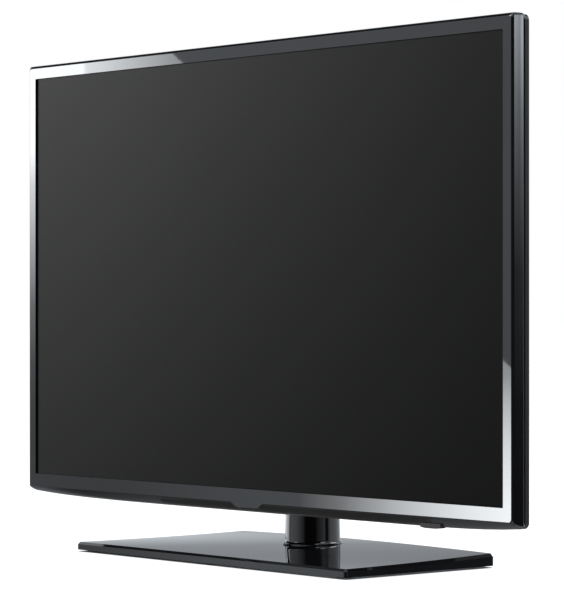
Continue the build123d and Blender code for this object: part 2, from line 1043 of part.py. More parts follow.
with BuildPart() as power_inlet:
    inlet_left = mains_wall_x + socket_proud - inlet_length
    inlet_right = mains_wall_x + socket_proud
    block(
        inlet_left,
        inlet_right,
        inlet_middle - inlet_half_high,
        inlet_middle + inlet_half_high,
        inlet_z - inlet_half_wide,
        inlet_z + inlet_half_wide,
    )
    with BuildSketch(Plane.YZ.offset(inlet_right)):
        with Locations((face_y + inlet_middle, inlet_z)):
            SlotOverall(inlet_wide, inlet_high, rotation=90)
    extrude(amount=-inlet_reach, mode=Mode.SUBTRACT)
    pin_places = [(inlet_middle, inlet_z + side * inlet_pin_pitch / 2) for side in (-1, 1)]
    side_pegs(inlet_right - inlet_reach, inlet_right - wall, inlet_pin, pin_places)
finish(power_inlet, "power_inlet")


def sockets(wide, high, rises):
    # Open-fronted metal shells that look out through the bay's wall.
    with BuildPart() as shells:
        mouth_x = bay_wall_x - socket_proud
        mouth_front = board_back + socket_shell
        for rise in rises:
            foot = bay_low + rise - wide / 2
            block(
                mouth_x,
                mouth_x + socket_depth,
                board_back,
                mouth_front + high + socket_shell,
                foot - socket_shell,
                foot + wide + socket_shell,
            )
            block(
                mouth_x - overrun,
                mouth_x + socket_depth - socket_shell,
                mouth_front,
                mouth_front + high,
                foot,
                foot + wide,
                Mode.SUBTRACT,
            )
    return shells


def jacks(radius, proud, bore, rises):
    # Round jacks on square blocks that stand on the main board.
    with BuildPart() as group:
        places = [(jack_middle, bay_low + rise) for rise in rises]
        side_pegs(bay_wall_x - proud, main_left + jack_block / 2, radius, places)
        for rise in rises:
            block(
                main_left,
                main_left + jack_block,
                board_back,
                board_back + jack_block,
                bay_low + rise - jack_block / 2,
                bay_low + rise + jack_block / 2,
            )
        side_pegs(bay_wall_x - proud - overrun, bay_wall_x, bore, places, Mode.SUBTRACT)
    return group


usb_socket = sockets(usb_wide, usb_high, [usb_rise])
finish(usb_socket, "usb_socket")
hdmi_sockets = sockets(hdmi_wide, hdmi_high, hdmi_rises)
finish(hdmi_sockets, "hdmi_sockets")
network_socket = sockets(network_wide, network_high, [network_rise])
finish(network_socket, "network_socket")
av_jacks = jacks(av_radius, av_proud, av_bore, av_rises)
finish(av_jacks, "av_jacks")
antenna_jack = jacks(antenna_radius, antenna_proud, antenna_bore, [antenna_rise])
finish(antenna_jack, "antenna_jack")

# Driver boards along the top edge, and the films that bend over the edge to the glass
driver_left = 40.0
driver_end = 75.0
driver_width = pan_width / 2 - driver_left - driver_end
driver_height = 24.0
driver_thick = 1.2
driver_top = picture_mid + pan_height / 2 - slip
film_count = 8
film_width = 30.0
film_lift = 5.0
glass_top = picture_mid + picture_height / 2 + glass_lap

with BuildPart() as driver_boards:
    for side in (-1, 1):
        driver_middle = (side * (driver_left + driver_width / 2), driver_top - driver_height / 2)
        slab(pan_depth, pan_depth + driver_thick, driver_width, driver_height, driver_middle)
finish(driver_boards, "driver_boards")

with BuildPart() as driver_films:
    film_pitch = driver_width / (film_count / 2)
    film_middle = glass_depth + glass_thick / 2
    film_path = [
        (film_middle, glass_top),
        (film_middle, glass_top + film_lift),
        (rim_back, glass_top + film_lift),
        (pan_depth + driver_thick / 2, driver_top + film_thick),
    ]
    for side in (-1, 1):
        for index in range(film_count // 2):
            film_x = side * (driver_left + film_pitch * (index + 1 / 2))
            strip(film_path, film_thick, film_x - film_width / 2, film_x + film_width / 2)
finish(driver_films, "driver_films")

# Flat cables: from the main board up to the timing board, and from there to the driver boards
cable_thick = 0.4
cable_width = 25.0
cable_slack = 12.0
cable_lap = 6.0
panel_cable_x = main_left + main_width - 2 * board_edge - cable_width / 2
timing_cable_x = 100.0

with BuildPart() as panel_cable:
    main_top = main_low + main_height
    lying = pan_depth + cable_thick / 2
    panel_path = [
        (board_back + cable_thick / 2, main_top - cable_lap),
        (board_back + cable_thick / 2, main_top + cable_slack / 2),
        (lying, main_top + 2 * cable_slack),
        (lying, timing_low - cable_slack),
        (timing_back + cable_thick / 2, timing_low - cable_slack / 3),
        (timing_back + cable_thick / 2, timing_low + cable_lap),
    ]
    strip(panel_path, cable_thick, panel_cable_x - cable_width / 2, panel_cable_x + cable_width / 2)
finish(panel_cable, "panel_cable")

with BuildPart() as timing_cables:
    timing_top = timing_low + timing_height
    driver_low = driver_top - driver_height
    timing_path = [
        (timing_back + cable_thick / 2, timing_top - cable_lap),
        (timing_back + cable_thick / 2, timing_top + cable_slack / 3),
        (pan_depth + driver_thick + cable_thick / 2, driver_low + cable_slack / 6),
        (pan_depth + driver_thick + cable_thick / 2, driver_low + cable_lap + cable_slack / 6),
    ]
    for side in (-1, 1):
        cable_middle = side * timing_cable_x
        strip(timing_path, cable_thick, cable_middle - cable_width, cable_middle + cable_width)
finish(timing_cables, "timing_cables")

# Lead from the power board to the light strips, lying on the pan
lead_width = 5.0
lead_thick = 2.0
lead_bend = 20.0
lead_hidden = 60.0
lead_z = power_low + power_height / 2
lead_x = power_left - board_edge - lead_width

with BuildPart() as lamp_lead:
    with BuildSketch(behind(pan_depth + lead_thick)):
        with BuildLine() as lead_line:
            FilletPolyline(
                (power_left + lead_hidden, lead_z),
                (lead_x, lead_z),
                (lead_x, picture_mid + strip_pitch),
                radius=lead_bend,
            )
        trace(lead_line.line, line_width=lead_width)
    extrude(amount=lead_thick)
finish(lamp_lead, "lamp_lead")

# Speakers: closed boxes on the pan, each with its cone facing down towards the slots
speaker_width = 118.0
speaker_lift = 39.6
speaker_low = set_lift + speaker_lift
speaker_height = 54.0
speaker_back = 57.0
speaker_corner = 6.0
cone_share = 0.25
cone_recess = 3.0
cone_middle = 3.0


def speaker(side):
    with BuildPart() as box:
        middle = (side * speaker_x, speaker_low + speaker_height / 2)
        slab(pan_depth, speaker_back, speaker_width, speaker_height, middle, speaker_corner)
        drive_x = side * (speaker_x + cone_share * speaker_width)
        drive_place = (drive_x, face_y + (pan_depth + speaker_back) / 2)
        posts(
            speaker_low - overrun,
            speaker_low + cone_recess,
            (speaker_back - pan_depth) / 2 - cone_recess,
            [drive_place],
            Mode.SUBTRACT,
        )
        posts(speaker_low, speaker_low + 2 * cone_recess, cone_middle, [drive_place])
    return box


speaker_left = speaker(-1)
finish(speaker_left, "speaker_left")
speaker_right = speaker(1)
finish(speaker_right, "speaker_right")

# The control stick's board, its case, and the three pieces that let it tilt and press
jog_place = (jog_x, jog_z)
jog_y = face_y + jog_pivot

with BuildPart() as jog_board:
    slab(jog_board_front, jog_board_back, jog_board_width, jog_board_height, jog_place)
    pegs(
        jog_board_front - overrun,
        jog_board_back + overrun,
        screw_radius,
        jog_boss_places,
        mode=Mode.SUBTRACT,
        sides=small_sides,
    )
finish(jog_board, "jog_board")

with BuildPart() as jog_switch:
    slab(jog_board_back, jog_case_back, jog_case, jog_case, jog_place)
    for front, back, radius in (
        (jog_board_back - overrun, jog_case_back - jog_case_lid, jog_cave),
        (jog_board_back, jog_case_back + overrun, jog_window),
    ):
        pegs(front, back, radius, [jog_place], mode=Mode.SUBTRACT, sides=round_sides)
    side_pegs(
        jog_x - jog_case / 2,
        jog_x + jog_case / 2,
        jog_pin + running_gap,
        [(jog_pivot, jog_z)],
        Mode.SUBTRACT,
    )
finish(jog_switch, "jog_switch")

with BuildPart() as jog_ring:
    pin_reach = jog_case / 2 - seat_gap
    side_pegs(jog_x - pin_reach, jog_x + pin_reach, jog_pin, [(jog_pivot, jog_z)])
    ring_half = ring_thick / 2
    pegs(jog_pivot - ring_half, jog_pivot + ring_half, ring_outer, [jog_place], sides=round_sides)
    pegs(jog_board_back, jog_case_back, ring_inner, [jog_place], mode=Mode.SUBTRACT, sides=round_sides)
    posts(jog_z - jog_case, jog_z + jog_case, jog_pin + running_gap, [(jog_x, jog_y)], Mode.SUBTRACT)
finish(jog_ring, "jog_ring")

with BuildPart() as jog_yoke:
    posts(jog_z - ring_outer + seat_gap, jog_z + ring_outer - seat_gap, jog_pin, [(jog_x, jog_y)])
    yoke_half = yoke_length / 2
    pegs(jog_pivot - yoke_half, jog_pivot + yoke_half, yoke_radius, [jog_place], sides=round_sides)
    pegs(jog_board_back, jog_case_back, stick_radius + running_gap, [jog_place], mode=Mode.SUBTRACT)
finish(jog_yoke, "jog_yoke")

with BuildPart() as jog_stick:
    flange_front = jog_pivot + yoke_half + press_travel + press_gap
    pegs(jog_pivot - stick_tail, knob_back - knob_grip, stick_radius, [jog_place])
    pegs(flange_front, flange_front + stick_flange_thick, stick_flange, [jog_place])
finish(jog_stick, "jog_stick")

with BuildPart() as jog_knob:
    pegs(knob_under, knob_back, knob_radius, [jog_place])
    chamfer(jog_knob.edges().group_by(Axis.Y)[-1], knob_grip)
    pegs(
        knob_under - overrun,
        knob_back - knob_grip,
        stick_radius + thread_gap,
        [jog_place],
        mode=Mode.SUBTRACT,
    )
finish(jog_knob, "jog_knob")

# Stand base: heights of the domed cover, and the stack that the neck turns on
base_gap = 2.5
base_plate_thick = 3.0
plate_top = base_gap + base_plate_thick
base_wall = 3.0
base_bevel = 4.0
front_side_top = 10.0
front_edge = 13.0
front_crown = 13.4
neck_side_top = 12.0
neck_edge = 16.0
neck_crown = 20.0
rear_side_top = 12.0
rear_edge = 16.0
rear_crown = 17.5
seat_radius = 45.0
seat_top = 10.5
washer_top = 12.0
washer_radius = 32.5
spigot_radius = 18.0
retainer_radius = 24.0
retainer_thick = 2.1
retainer_top = 8.3
retainer_play = 0.1
flange_radius = 32.0
flange_top = 16.0
lug_width = 10.0
lug_reach = 40.0
lug_top = 15.0
stop_inner = 35.0
stop_size = 8.0
stop_margin = 1.5
neck_opening = 34.0
hub_screw_radius = 4.0
hub_screw_head = 7.0
hub_head_thick = 2.0
hub_screw_top = 30.0
hub_access = 9.0

# Screws up through the plate: into the cover's bosses, and into the seat round the neck
base_screw_radius = 1.9
base_screw_head = 3.5
base_head_thick = 1.5
base_screw_top = 10.3
base_boss = 5.0
seat_screw_ring = 36.0
seat_screws = 4
seat_screw_turn = 45.0
front_screw_shares = (-0.41, -0.15, 0.15, 0.41)
rear_screw_shares = (-0.4, 0.4)
screw_inset_share = 0.12
front_screw_y = -base_depth / 2 + screw_inset_share * base_depth
rear_screw_y = base_depth / 2 - screw_inset_share * base_depth
base_screw_places = [(share * base_front_width, front_screw_y) for share in front_screw_shares]
base_screw_places += [(share * base_rear_width, rear_screw_y) for share in rear_screw_shares]

# Rubber feet under the plate
foot_radius = 10.0
foot_inset_share = 0.08
foot_front_shares = (-0.45, 0.0, 0.45)
foot_y = base_depth / 2 - foot_inset_share * base_depth
foot_places = [(share * base_front_width, -foot_y) for share in foot_front_shares]
foot_places += [(share * base_rear_width, foot_y) for share in foot_front_shares]


def half_width(y):
    # Half the base's width at a place along Y: it narrows evenly to the rear.
    share = y / base_depth + 1 / 2
    return (base_front_width + share * (base_rear_width - base_front_width)) / 2


def base_slice(y, side_top, edge, crown):
    # Section across the base: a straight side, a bevel, and an arched top.
    half = half_width(y)
    inner = half - base_bevel
    with BuildSketch(Plane.XZ.offset(-y)) as section:
        with BuildLine():
            Polyline(
                (-inner, edge),
                (-half, side_top),
                (-half, base_gap),
                (half, base_gap),
                (half, side_top),
                (inner, edge),
            )
            ThreePointArc((inner, edge), (0, crown), (-inner, edge))
        make_face()
    return section.sketch


def hollow_slice(y, side_top, crown):
    # Section of the space inside, drawn in straight lines a wall inside the cover.
    half = half_width(y) - base_wall
    with BuildSketch(Plane.XZ.offset(-y)) as section:
        with BuildLine():
            Polyline(
                (-half, base_gap),
                (-half, side_top - base_wall),
                (0, crown - base_wall),
                (half, side_top - base_wall),
                (half, base_gap),
                close=True,
            )
        make_face()
    return section.sketch


def end_bevel(y_outer, y_inner, side_top, edge, crown):
    # The bevel along the front or rear edge.
    drop = edge - side_top
    outer = base_slice(y_outer, side_top - drop / 2, side_top, side_top + (crown - edge))
    inner = base_slice(y_inner, side_top, edge, crown)
    loft([outer, inner], ruled=True)


with BuildPart() as base_hollow:
    hollow_front = hollow_slice(base_wall - base_depth / 2, front_side_top, front_crown)
    hollow_middle = hollow_slice(neck_y, neck_side_top, neck_crown)
    hollow_rear = hollow_slice(base_depth / 2 - base_wall, rear_side_top, rear_crown)
    loft([hollow_front, hollow_middle, hollow_rear], ruled=True)
    posts(plate_top, neck_crown, base_boss, base_screw_places, Mode.SUBTRACT, small_sides)

with BuildPart() as base_cover:
    front_slice = base_slice(base_bevel - base_depth / 2, front_side_top, front_edge, front_crown)
    neck_slice = base_slice(neck_y, neck_side_top, neck_edge, neck_crown)
    rear_slice = base_slice(base_depth / 2 - base_bevel, rear_side_top, rear_edge, rear_crown)
    loft([front_slice, neck_slice, rear_slice])
    end_bevel(-base_depth / 2, -base_depth / 2 + base_bevel, front_side_top, front_edge, front_crown)
    end_bevel(base_depth / 2, base_depth / 2 - base_bevel, rear_side_top, rear_edge, rear_crown)
    add(base_hollow.part, mode=Mode.SUBTRACT)
    posts(0, neck_crown + overrun, neck_opening, [(0, neck_y)], Mode.SUBTRACT)
    posts(
        0,
        base_screw_top + seat_gap,
        base_screw_radius + thread_gap,
        base_screw_places,
        Mode.SUBTRACT,
        small_sides,
    )
finish(base_cover, "base_cover")

seat_screw_angles = [seat_screw_turn + 360 * index / seat_screws for index in range(seat_screws)]
seat_screw_places = [
    (offset.X, neck_y + offset.Y)
    for offset in (Vector(seat_screw_ring, 0).rotate(Axis.Z, angle) for angle in seat_screw_angles)
]

with BuildPart() as base_plate:
    with BuildSketch(Plane.XY.offset(base_gap)):
        plate_y = base_depth / 2 - base_wall - slip
        front_half = half_width(-plate_y) - base_wall - slip
        rear_half = half_width(plate_y) - base_wall - slip
        with BuildLine():
            Polyline(
                (-front_half, -plate_y),
                (front_half, -plate_y),
                (rear_half, plate_y),
                (-rear_half, plate_y),
                close=True,
            )
        make_face()
    extrude(amount=base_plate_thick)
    posts(0, plate_top + overrun, hub_access, [(0, neck_y)], Mode.SUBTRACT)
    all_screw_places = base_screw_places + seat_screw_places
    posts(
        0,
        plate_top + overrun,
        base_screw_radius + seat_gap,
        all_screw_places,
        Mode.SUBTRACT,
        small_sides,
    )
finish(base_plate, "base_plate")

with BuildPart() as base_feet:
    posts(0, base_gap, foot_radius, foot_places, sides=small_sides)
finish(base_feet, "base_feet")

with BuildPart() as base_screws:
    head_low = base_gap - base_head_thick
    posts(head_low, base_gap, base_screw_head, all_screw_places, sides=small_sides)
    posts(base_gap, base_screw_top, base_screw_radius, base_screw_places, sides=small_sides)
    posts(base_gap, seat_top - slip, base_screw_radius, seat_screw_places, sides=small_sides)
finish(base_screws, "base_screws")

# Seat that the neck turns in, with two stops for the lug on the neck
stop_angle = (
    swivel_limit
    + degrees(atan(lug_width / 2 / stop_inner))
    + degrees(atan(stop_size / 2 / stop_inner))
    + stop_margin
)

with BuildPart() as swivel_seat:
    posts(plate_top, seat_top, seat_radius, [(0, neck_y)])
    posts(plate_top, retainer_top + retainer_play, retainer_radius + slip, [(0, neck_y)], Mode.SUBTRACT)
    posts(plate_top, seat_top + overrun, spigot_radius + running_gap, [(0, neck_y)], Mode.SUBTRACT)
    posts(
        0,
        seat_top - slip / 2,
        base_screw_radius + thread_gap,
        seat_screw_places,
        Mode.SUBTRACT,
        small_sides,
    )
    with BuildSketch(Plane.XY.offset(seat_top)):
        with Locations((0, neck_y)):
            with PolarLocations(
                stop_inner + stop_size / 2,
                2,
                start_angle=90 - stop_angle,
                angular_range=4 * stop_angle,
            ):
                Rectangle(stop_size, stop_size)
    extrude(amount=lug_top - seat_top)
finish(swivel_seat, "swivel_seat")

with BuildPart() as swivel_washer:
    posts(seat_top, washer_top, washer_radius, [(0, neck_y)])
    posts(seat_top, washer_top + overrun, spigot_radius + slip, [(0, neck_y)], Mode.SUBTRACT)
finish(swivel_washer, "swivel_washer")

# Neck: the casting that carries the set, its round shell, and the cover behind it
core_radius = 30.0
core_bore = 23.0
core_floor = 34.0
collar_height = 8.0
neck_lap = 27.6
shell_low = 20.4
shell_top = set_lift + neck_lap
core_drop = 0.4
core_top = shell_top - core_drop
shell_low_radius = 37.3
shell_foot_radius = 40.5
shell_foot_height = 6.0
neck_plate_thick = 4.0
plate_back = pocket_depth + neck_plate_thick
plate_low = shell_top + slip
hood_low = shell_top + seat_gap
hood_drop = 4.0
hood_high = pocket_top - hood_drop
hood_half = 70.0
hood_back = 96.0
hood_rise = 14.0
hood_knee = 92.0
hood_corner = 12.0
plate_margin = 2.0
plate_high = hood_high - 2 * plate_margin
gusset_half = 14.0
gusset_drop = 50.0
gusset_high = pocket_top - gusset_drop
gusset_reach = 26.0

with BuildPart() as neck_core:
    posts(retainer_top, washer_top, spigot_radius, [(0, neck_y)])
    posts(washer_top, flange_top, flange_radius, [(0, neck_y)])
    with BuildSketch(Plane.XY.offset(washer_top + seat_gap)):
        with Locations((0, neck_y + lug_reach - lug_width)):
            Rectangle(lug_width, 2 * lug_width)
    extrude(amount=lug_top - washer_top - seat_gap)
    posts(flange_top, core_top, core_radius, [(0, neck_y)])
    posts(core_top - collar_height, core_top, neck_radius - wall - seat_gap, [(0, neck_y)])
    posts(core_floor, core_top - collar_height, core_bore, [(0, neck_y)], Mode.SUBTRACT)
    with BuildSketch(behind(plate_back)):
        top_half = hood_half - plate_margin
        low_half = neck_radius - plate_margin
        with BuildLine():
            Polyline(
                (-low_half, plate_low),
                (low_half, plate_low),
                (top_half, plate_high),
                (-top_half, plate_high),
                close=True,
            )
        make_face()
    extrude(amount=neck_plate_thick)
    with BuildSketch(Plane.YZ.offset(-gusset_half)):
        with BuildLine():
            Polyline(
                (face_y + pocket_depth, plate_low),
                (face_y + pocket_depth, gusset_high),
                (face_y + plate_back, gusset_high),
                (neck_y + gusset_reach / 2, plate_low + gusset_reach),
                (neck_y + gusset_reach, core_top - collar_height),
                (neck_y - gusset_reach, core_top - collar_height),
                (neck_y - gusset_reach, plate_low),
                close=True,
            )
        make_face()
    extrude(amount=2 * gusset_half)
    pegs(
        pocket_depth - overrun,
        plate_back,
        neck_screw_radius + seat_gap,
        neck_screw_places,
        mode=Mode.SUBTRACT,
        sides=small_sides,
    )
    posts(0, hub_screw_top + seat_gap, hub_screw_radius + thread_gap, [(0, neck_y)], Mode.SUBTRACT)
finish(neck_core, "neck_core")

with BuildPart() as neck_screws:
    screw_front = plate_back - neck_screw_reach
    pegs(plate_back, plate_back + neck_screw_thick, neck_screw_head, neck_screw_places, sides=small_sides)
    pegs(screw_front, plate_back, neck_screw_radius, neck_screw_places, sides=small_sides)
finish(neck_screws, "neck_screws")

with BuildPart() as neck_shell:
    with BuildSketch(Plane.XZ.offset(-neck_y)):
        with BuildLine():
            bore = neck_radius - wall
            Polyline(
                (shell_foot_radius, shell_low),
                (bore, shell_low),
                (bore, shell_top),
                (neck_radius, shell_top),
                (shell_low_radius, shell_low + shell_foot_height),
                (shell_foot_radius, shell_low),
            )
        make_face()
    revolve(axis=Axis((0, neck_y, 0), (0, 0, 1)))
finish(neck_shell, "neck_shell")


def hood_solid(front, low, shrink):
    # The cover behind the neck: a flat shield on the set, and the neck's round rising into it.
    back = hood_back - shrink
    top_half = hood_half - shrink
    high = hood_high - shrink
    round_back = neck_axis_depth + neck_radius
    with BuildPart() as solid:
        with BuildSketch(behind(back)) as shield:
            with BuildLine():
                Polyline(
                    (-neck_radius + shrink, low),
                    (neck_radius - shrink, low),
                    (top_half, low + hood_knee),
                    (top_half, high),
                    (-top_half, high),
                    (-top_half, low + hood_knee),
                    close=True,
                )
            make_face()
            fillet(shield.vertices().group_by(Axis.Y)[-1], hood_corner - shrink)
        extrude(amount=back - front)
        posts(low, high, neck_radius - shrink, [(0, neck_y)])
        with BuildSketch(Plane.YZ.offset(-hood_half)):
            with BuildLine():
                Polyline(
                    (face_y + back, hood_low + hood_knee - shrink),
                    (face_y + round_back - shrink, hood_low + hood_rise - shrink),
                    (face_y + round_back + overrun, hood_low + hood_rise - shrink),
                    (face_y + round_back + overrun, hood_high + overrun),
                    (face_y + back, hood_high + overrun),
                    close=True,
                )
            make_face()
        extrude(amount=2 * hood_half, mode=Mode.SUBTRACT)
        block(-hood_half, hood_half, 0, front, 0, hood_high + overrun, Mode.SUBTRACT)
    return solid.part


hood_front = plate_back + seat_gap
hood_outside = hood_solid(hood_front, hood_low, 0)
hood_inside = hood_solid(hood_front - overrun, hood_low - overrun, wall)

with BuildPart() as neck_rear_cover:
    add(hood_outside)
    add(hood_inside, mode=Mode.SUBTRACT)
finish(neck_rear_cover, "neck_rear_cover")

with BuildPart() as swivel_retainer:
    posts(retainer_top - retainer_thick, retainer_top, retainer_radius, [(0, neck_y)])
    posts(0, retainer_top + overrun, hub_screw_radius + seat_gap, [(0, neck_y)], Mode.SUBTRACT)
finish(swivel_retainer, "swivel_retainer")

with BuildPart() as retainer_screw:
    hub_head_top = retainer_top - retainer_thick
    posts(hub_head_top - hub_head_thick, hub_head_top, hub_screw_head, [(0, neck_y)])
    posts(hub_head_top, hub_screw_top, hub_screw_radius, [(0, neck_y)])
finish(retainer_screw, "retainer_screw")

os.makedirs("parts", exist_ok=True)
for piece in finished:
    export_step(piece, f"parts/{piece.label}.step")
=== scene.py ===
import json
import math
import bmesh
import bpy
from mathutils import Matrix, Vector


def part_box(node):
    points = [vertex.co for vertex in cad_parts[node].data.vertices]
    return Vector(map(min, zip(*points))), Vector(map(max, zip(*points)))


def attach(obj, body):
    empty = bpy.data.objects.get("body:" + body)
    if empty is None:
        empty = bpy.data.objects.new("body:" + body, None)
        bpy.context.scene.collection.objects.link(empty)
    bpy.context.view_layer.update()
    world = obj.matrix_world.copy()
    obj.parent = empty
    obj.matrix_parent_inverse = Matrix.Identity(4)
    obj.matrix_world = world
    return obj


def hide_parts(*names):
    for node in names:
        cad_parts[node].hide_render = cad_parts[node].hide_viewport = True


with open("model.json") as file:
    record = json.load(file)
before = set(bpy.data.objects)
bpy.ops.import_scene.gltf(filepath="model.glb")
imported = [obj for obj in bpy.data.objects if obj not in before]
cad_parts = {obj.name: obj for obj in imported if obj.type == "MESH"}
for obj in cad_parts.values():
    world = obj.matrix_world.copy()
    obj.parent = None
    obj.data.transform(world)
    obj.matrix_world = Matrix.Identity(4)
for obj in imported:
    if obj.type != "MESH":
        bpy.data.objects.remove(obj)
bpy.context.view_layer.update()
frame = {"nodes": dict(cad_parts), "record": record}
nodes = frame["nodes"]
mm = 0.001
print("frame loaded,", len(nodes), "nodes")


# Camera

cameraView = {
    "place": (3.3106, -2.5623, 0.3305),
    "towards": (-0.79135, 0.61136, 0.0037),
    "lens": 186.5,            # mm, on the frame's long side
    "film": 36.0,
}


def makeCamera(view):
    data = bpy.data.cameras.new("studioCamera")
    data.lens = view["lens"]
    data.sensor_width = view["film"]
    data.clip_end = 100
    camera = bpy.data.objects.new("studioCamera", data)
    bpy.context.scene.collection.objects.link(camera)
    camera.location = view["place"]
    camera.rotation_mode = "QUATERNION"
    camera.rotation_quaternion = Vector(view["towards"]).to_track_quat("-Z", "Y")
    bpy.context.scene.camera = camera


makeCamera(cameraView)
bpy.context.scene.view_settings.view_transform = "Standard"
print("camera set")


# Shader helpers

def feed(tree, socket, value):
    # Links a socket, or sets a value
    if isinstance(value, bpy.types.NodeSocket):
        tree.links.new(value, socket)
    else:
        socket.default_value = (*value, 1) if socket.type == "RGBA" else value


def addNode(tree, kind, **settings):
    made = tree.nodes.new(kind)
    for key, value in settings.items():
        if key in made.inputs:
            feed(tree, made.inputs[key], value)
        else:
            setattr(made, key, value)
    return made


def sumUp(tree, operation, first, second=0.0, clamp=False):
    made = addNode(tree, "ShaderNodeMath", operation=operation, use_clamp=clamp)
    feed(tree, made.inputs[0], first)
    feed(tree, made.inputs[1], second)
    return made.outputs[0]


def product(tree, first, *others):
    for other in others:
        first = sumUp(tree, "MULTIPLY", first, other)
    return first


def spread(tree, value, low, high, outLow=0.0, outHigh=1.0, smooth=True):
    # Stretches part of a value's range over another range
    kind = "SMOOTHSTEP" if smooth else "LINEAR"
    made = addNode(tree, "ShaderNodeMapRange", interpolation_type=kind, Value=value)
    for label, bound in zip(("From Min", "From Max", "To Min", "To Max"), (low, high, outLow, outHigh)):
        made.inputs[label].default_value = bound
    return made.outputs["Result"]


def rampOf(tree, value, stops):
    # Piecewise line through (position, grey) stops
    made = addNode(tree, "ShaderNodeValToRGB")
    made.color_ramp.interpolation = "LINEAR"
    while len(made.color_ramp.elements) < len(stops):
        made.color_ramp.elements.new(0.5)
    for element, (position, grey) in zip(made.color_ramp.elements, stops):
        element.position = position
        element.color = (grey, grey, grey, 1)
    feed(tree, made.inputs[0], value)
    return made.outputs["Color"]


def rampOver(tree, value, stops):
    # The same through stops that are given in the value's own units
    low, high = stops[0][0], stops[-1][0]
    share = spread(tree, value, low, high, smooth=False)
    return rampOf(tree, share, [((place - low) / (high - low), grey) for place, grey in stops])


def mixColours(tree, mask, first, second):
    made = addNode(tree, "ShaderNodeMix", data_type="RGBA")
    for index, value in ((0, mask), (6, first), (7, second)):
        feed(tree, made.inputs[index], value)
    return made.outputs[2]


def splitUp(tree, vector):
    return addNode(tree, "ShaderNodeSeparateXYZ", Vector=vector).outputs


def pieceSpace(tree):
    # The piece's own coordinates, in metres
    return addNode(tree, "ShaderNodeTexCoord").outputs["Object"]


def noiseAt(tree, space, scale, detail, rough):
    made = addNode(tree, "ShaderNodeTexNoise", Vector=space, Scale=scale, Detail=detail, Roughness=rough)
    return made.outputs[0]


def newGroup(name, inputs):
    group = bpy.data.node_groups.new(name, "ShaderNodeTree")
    for label, value in inputs.items():
        socket = group.interface.new_socket(name=label, in_out="INPUT", socket_type="NodeSocketFloat")
        socket.default_value = value
    return group, group.nodes.new("NodeGroupInput").outputs, pieceSpace(group)


def closeGroup(group, **results):
    for label in results:
        group.interface.new_socket(name=label, in_out="OUTPUT", socket_type="NodeSocketFloat")
    addNode(group, "NodeGroupOutput", **results)
    return group


def useGroup(tree, group, *values):
    made = addNode(tree, "ShaderNodeGroup", node_tree=group)
    for socket, value in zip(made.inputs, values):
        socket.default_value = value
    return made.outputs


# Effects that several finishes share

def makeMouldedGrain():
    # Spark-eroded grain of moulded plastic: small rounded pits on a slow drift of tone
    group, given, space = newGroup("Moulded Grain", {"Grain Scale": 900.0, "Drift Scale": 9.0})
    scale = given["Grain Scale"]
    cells = addNode(group, "ShaderNodeTexVoronoi", feature="SMOOTH_F1", Smoothness=0.6, Vector=space, Scale=scale)
    fine = noiseAt(group, space, product(group, scale, 1.7), 2.0, 0.55)
    height = sumUp(group, "ADD", product(group, cells.outputs["Distance"], 0.7), product(group, fine, 0.5))
    drift = spread(group, noiseAt(group, space, given["Drift Scale"], 3.0, 0.55), 0.3, 0.7)
    return closeGroup(group, Height=height, Pits=spread(group, height, 0.35, 0.85), Drift=drift)


def makeSettledDust():
    # Loose specks, thicker on faces that look up
    group, given, space = newGroup("Settled Dust", {"Speck Scale": 700.0, "Amount": 0.3})
    cells = addNode(
        group, "ShaderNodeTexVoronoi", feature="F1", Randomness=1.0, Vector=space, Scale=given["Speck Scale"],
    )
    speck = spread(group, cells.outputs["Distance"], 0.16, 0.05)
    chance = addNode(group, "ShaderNodeSeparateColor", Color=cells.outputs["Color"])
    chosen = spread(group, chance.outputs[0], 0.93, 0.95)
    normal = addNode(group, "ShaderNodeNewGeometry").outputs["Normal"]
    facing = spread(group, splitUp(group, normal)["Z"], -0.2, 0.9, 0.25, 1.0)
    patches = spread(group, noiseAt(group, space, 14.0, 4.0, 0.6), 0.4, 0.7)
    specks = product(group, speck, chosen, facing, given["Amount"])
    return closeGroup(group, Specks=specks, Film=product(group, facing, patches, given["Amount"]))


def makeWipeMarks():
    # Hair-fine marks that a cloth leaves on a polished face
    group, given, space = newGroup("Wipe Marks", {"Mark Scale": 60.0, "Amount": 0.5})
    bent = addNode(group, "ShaderNodeMapping", Scale=(1.0, 1.0, 14.0), Rotation=(0.3, 0.5, 0.9), Vector=space)
    shifted = addNode(group, "ShaderNodeVectorMath", operation="ADD")
    feed(group, shifted.inputs[0], bent.outputs[0])
    feed(group, shifted.inputs[1], noiseAt(group, space, 3.0, 2.0, 0.5))
    lines = noiseAt(group, shifted.outputs[0], given["Mark Scale"], 6.0, 0.75)
    patches = spread(group, noiseAt(group, space, 5.0, 2.0, 0.5), 0.35, 0.65)
    return closeGroup(group, Marks=product(group, spread(group, lines, 0.56, 0.72), patches, given["Amount"]))


def makeDrawnLines():
    # Lines that rolling or brushing leaves in sheet metal, along X
    group, given, space = newGroup("Drawn Lines", {"Line Scale": 400.0, "Blotch Scale": 20.0})
    stretched = addNode(group, "ShaderNodeMapping", Scale=(0.03, 1.0, 1.0), Vector=space)
    lines = noiseAt(group, stretched.outputs[0], given["Line Scale"], 3.0, 0.6)
    cells = addNode(group, "ShaderNodeTexVoronoi", feature="F1", Vector=space, Scale=given["Blotch Scale"])
    flakes = addNode(group, "ShaderNodeSeparateColor", Color=cells.outputs["Color"])
    return closeGroup(group, Height=lines, Tone=spread(group, lines, 0.3, 0.7), Blotch=flakes.outputs[0])


mouldedGrain = makeMouldedGrain()
settledDust = makeSettledDust()
wipeMarks = makeWipeMarks()
drawnLines = makeDrawnLines()


# Finishes

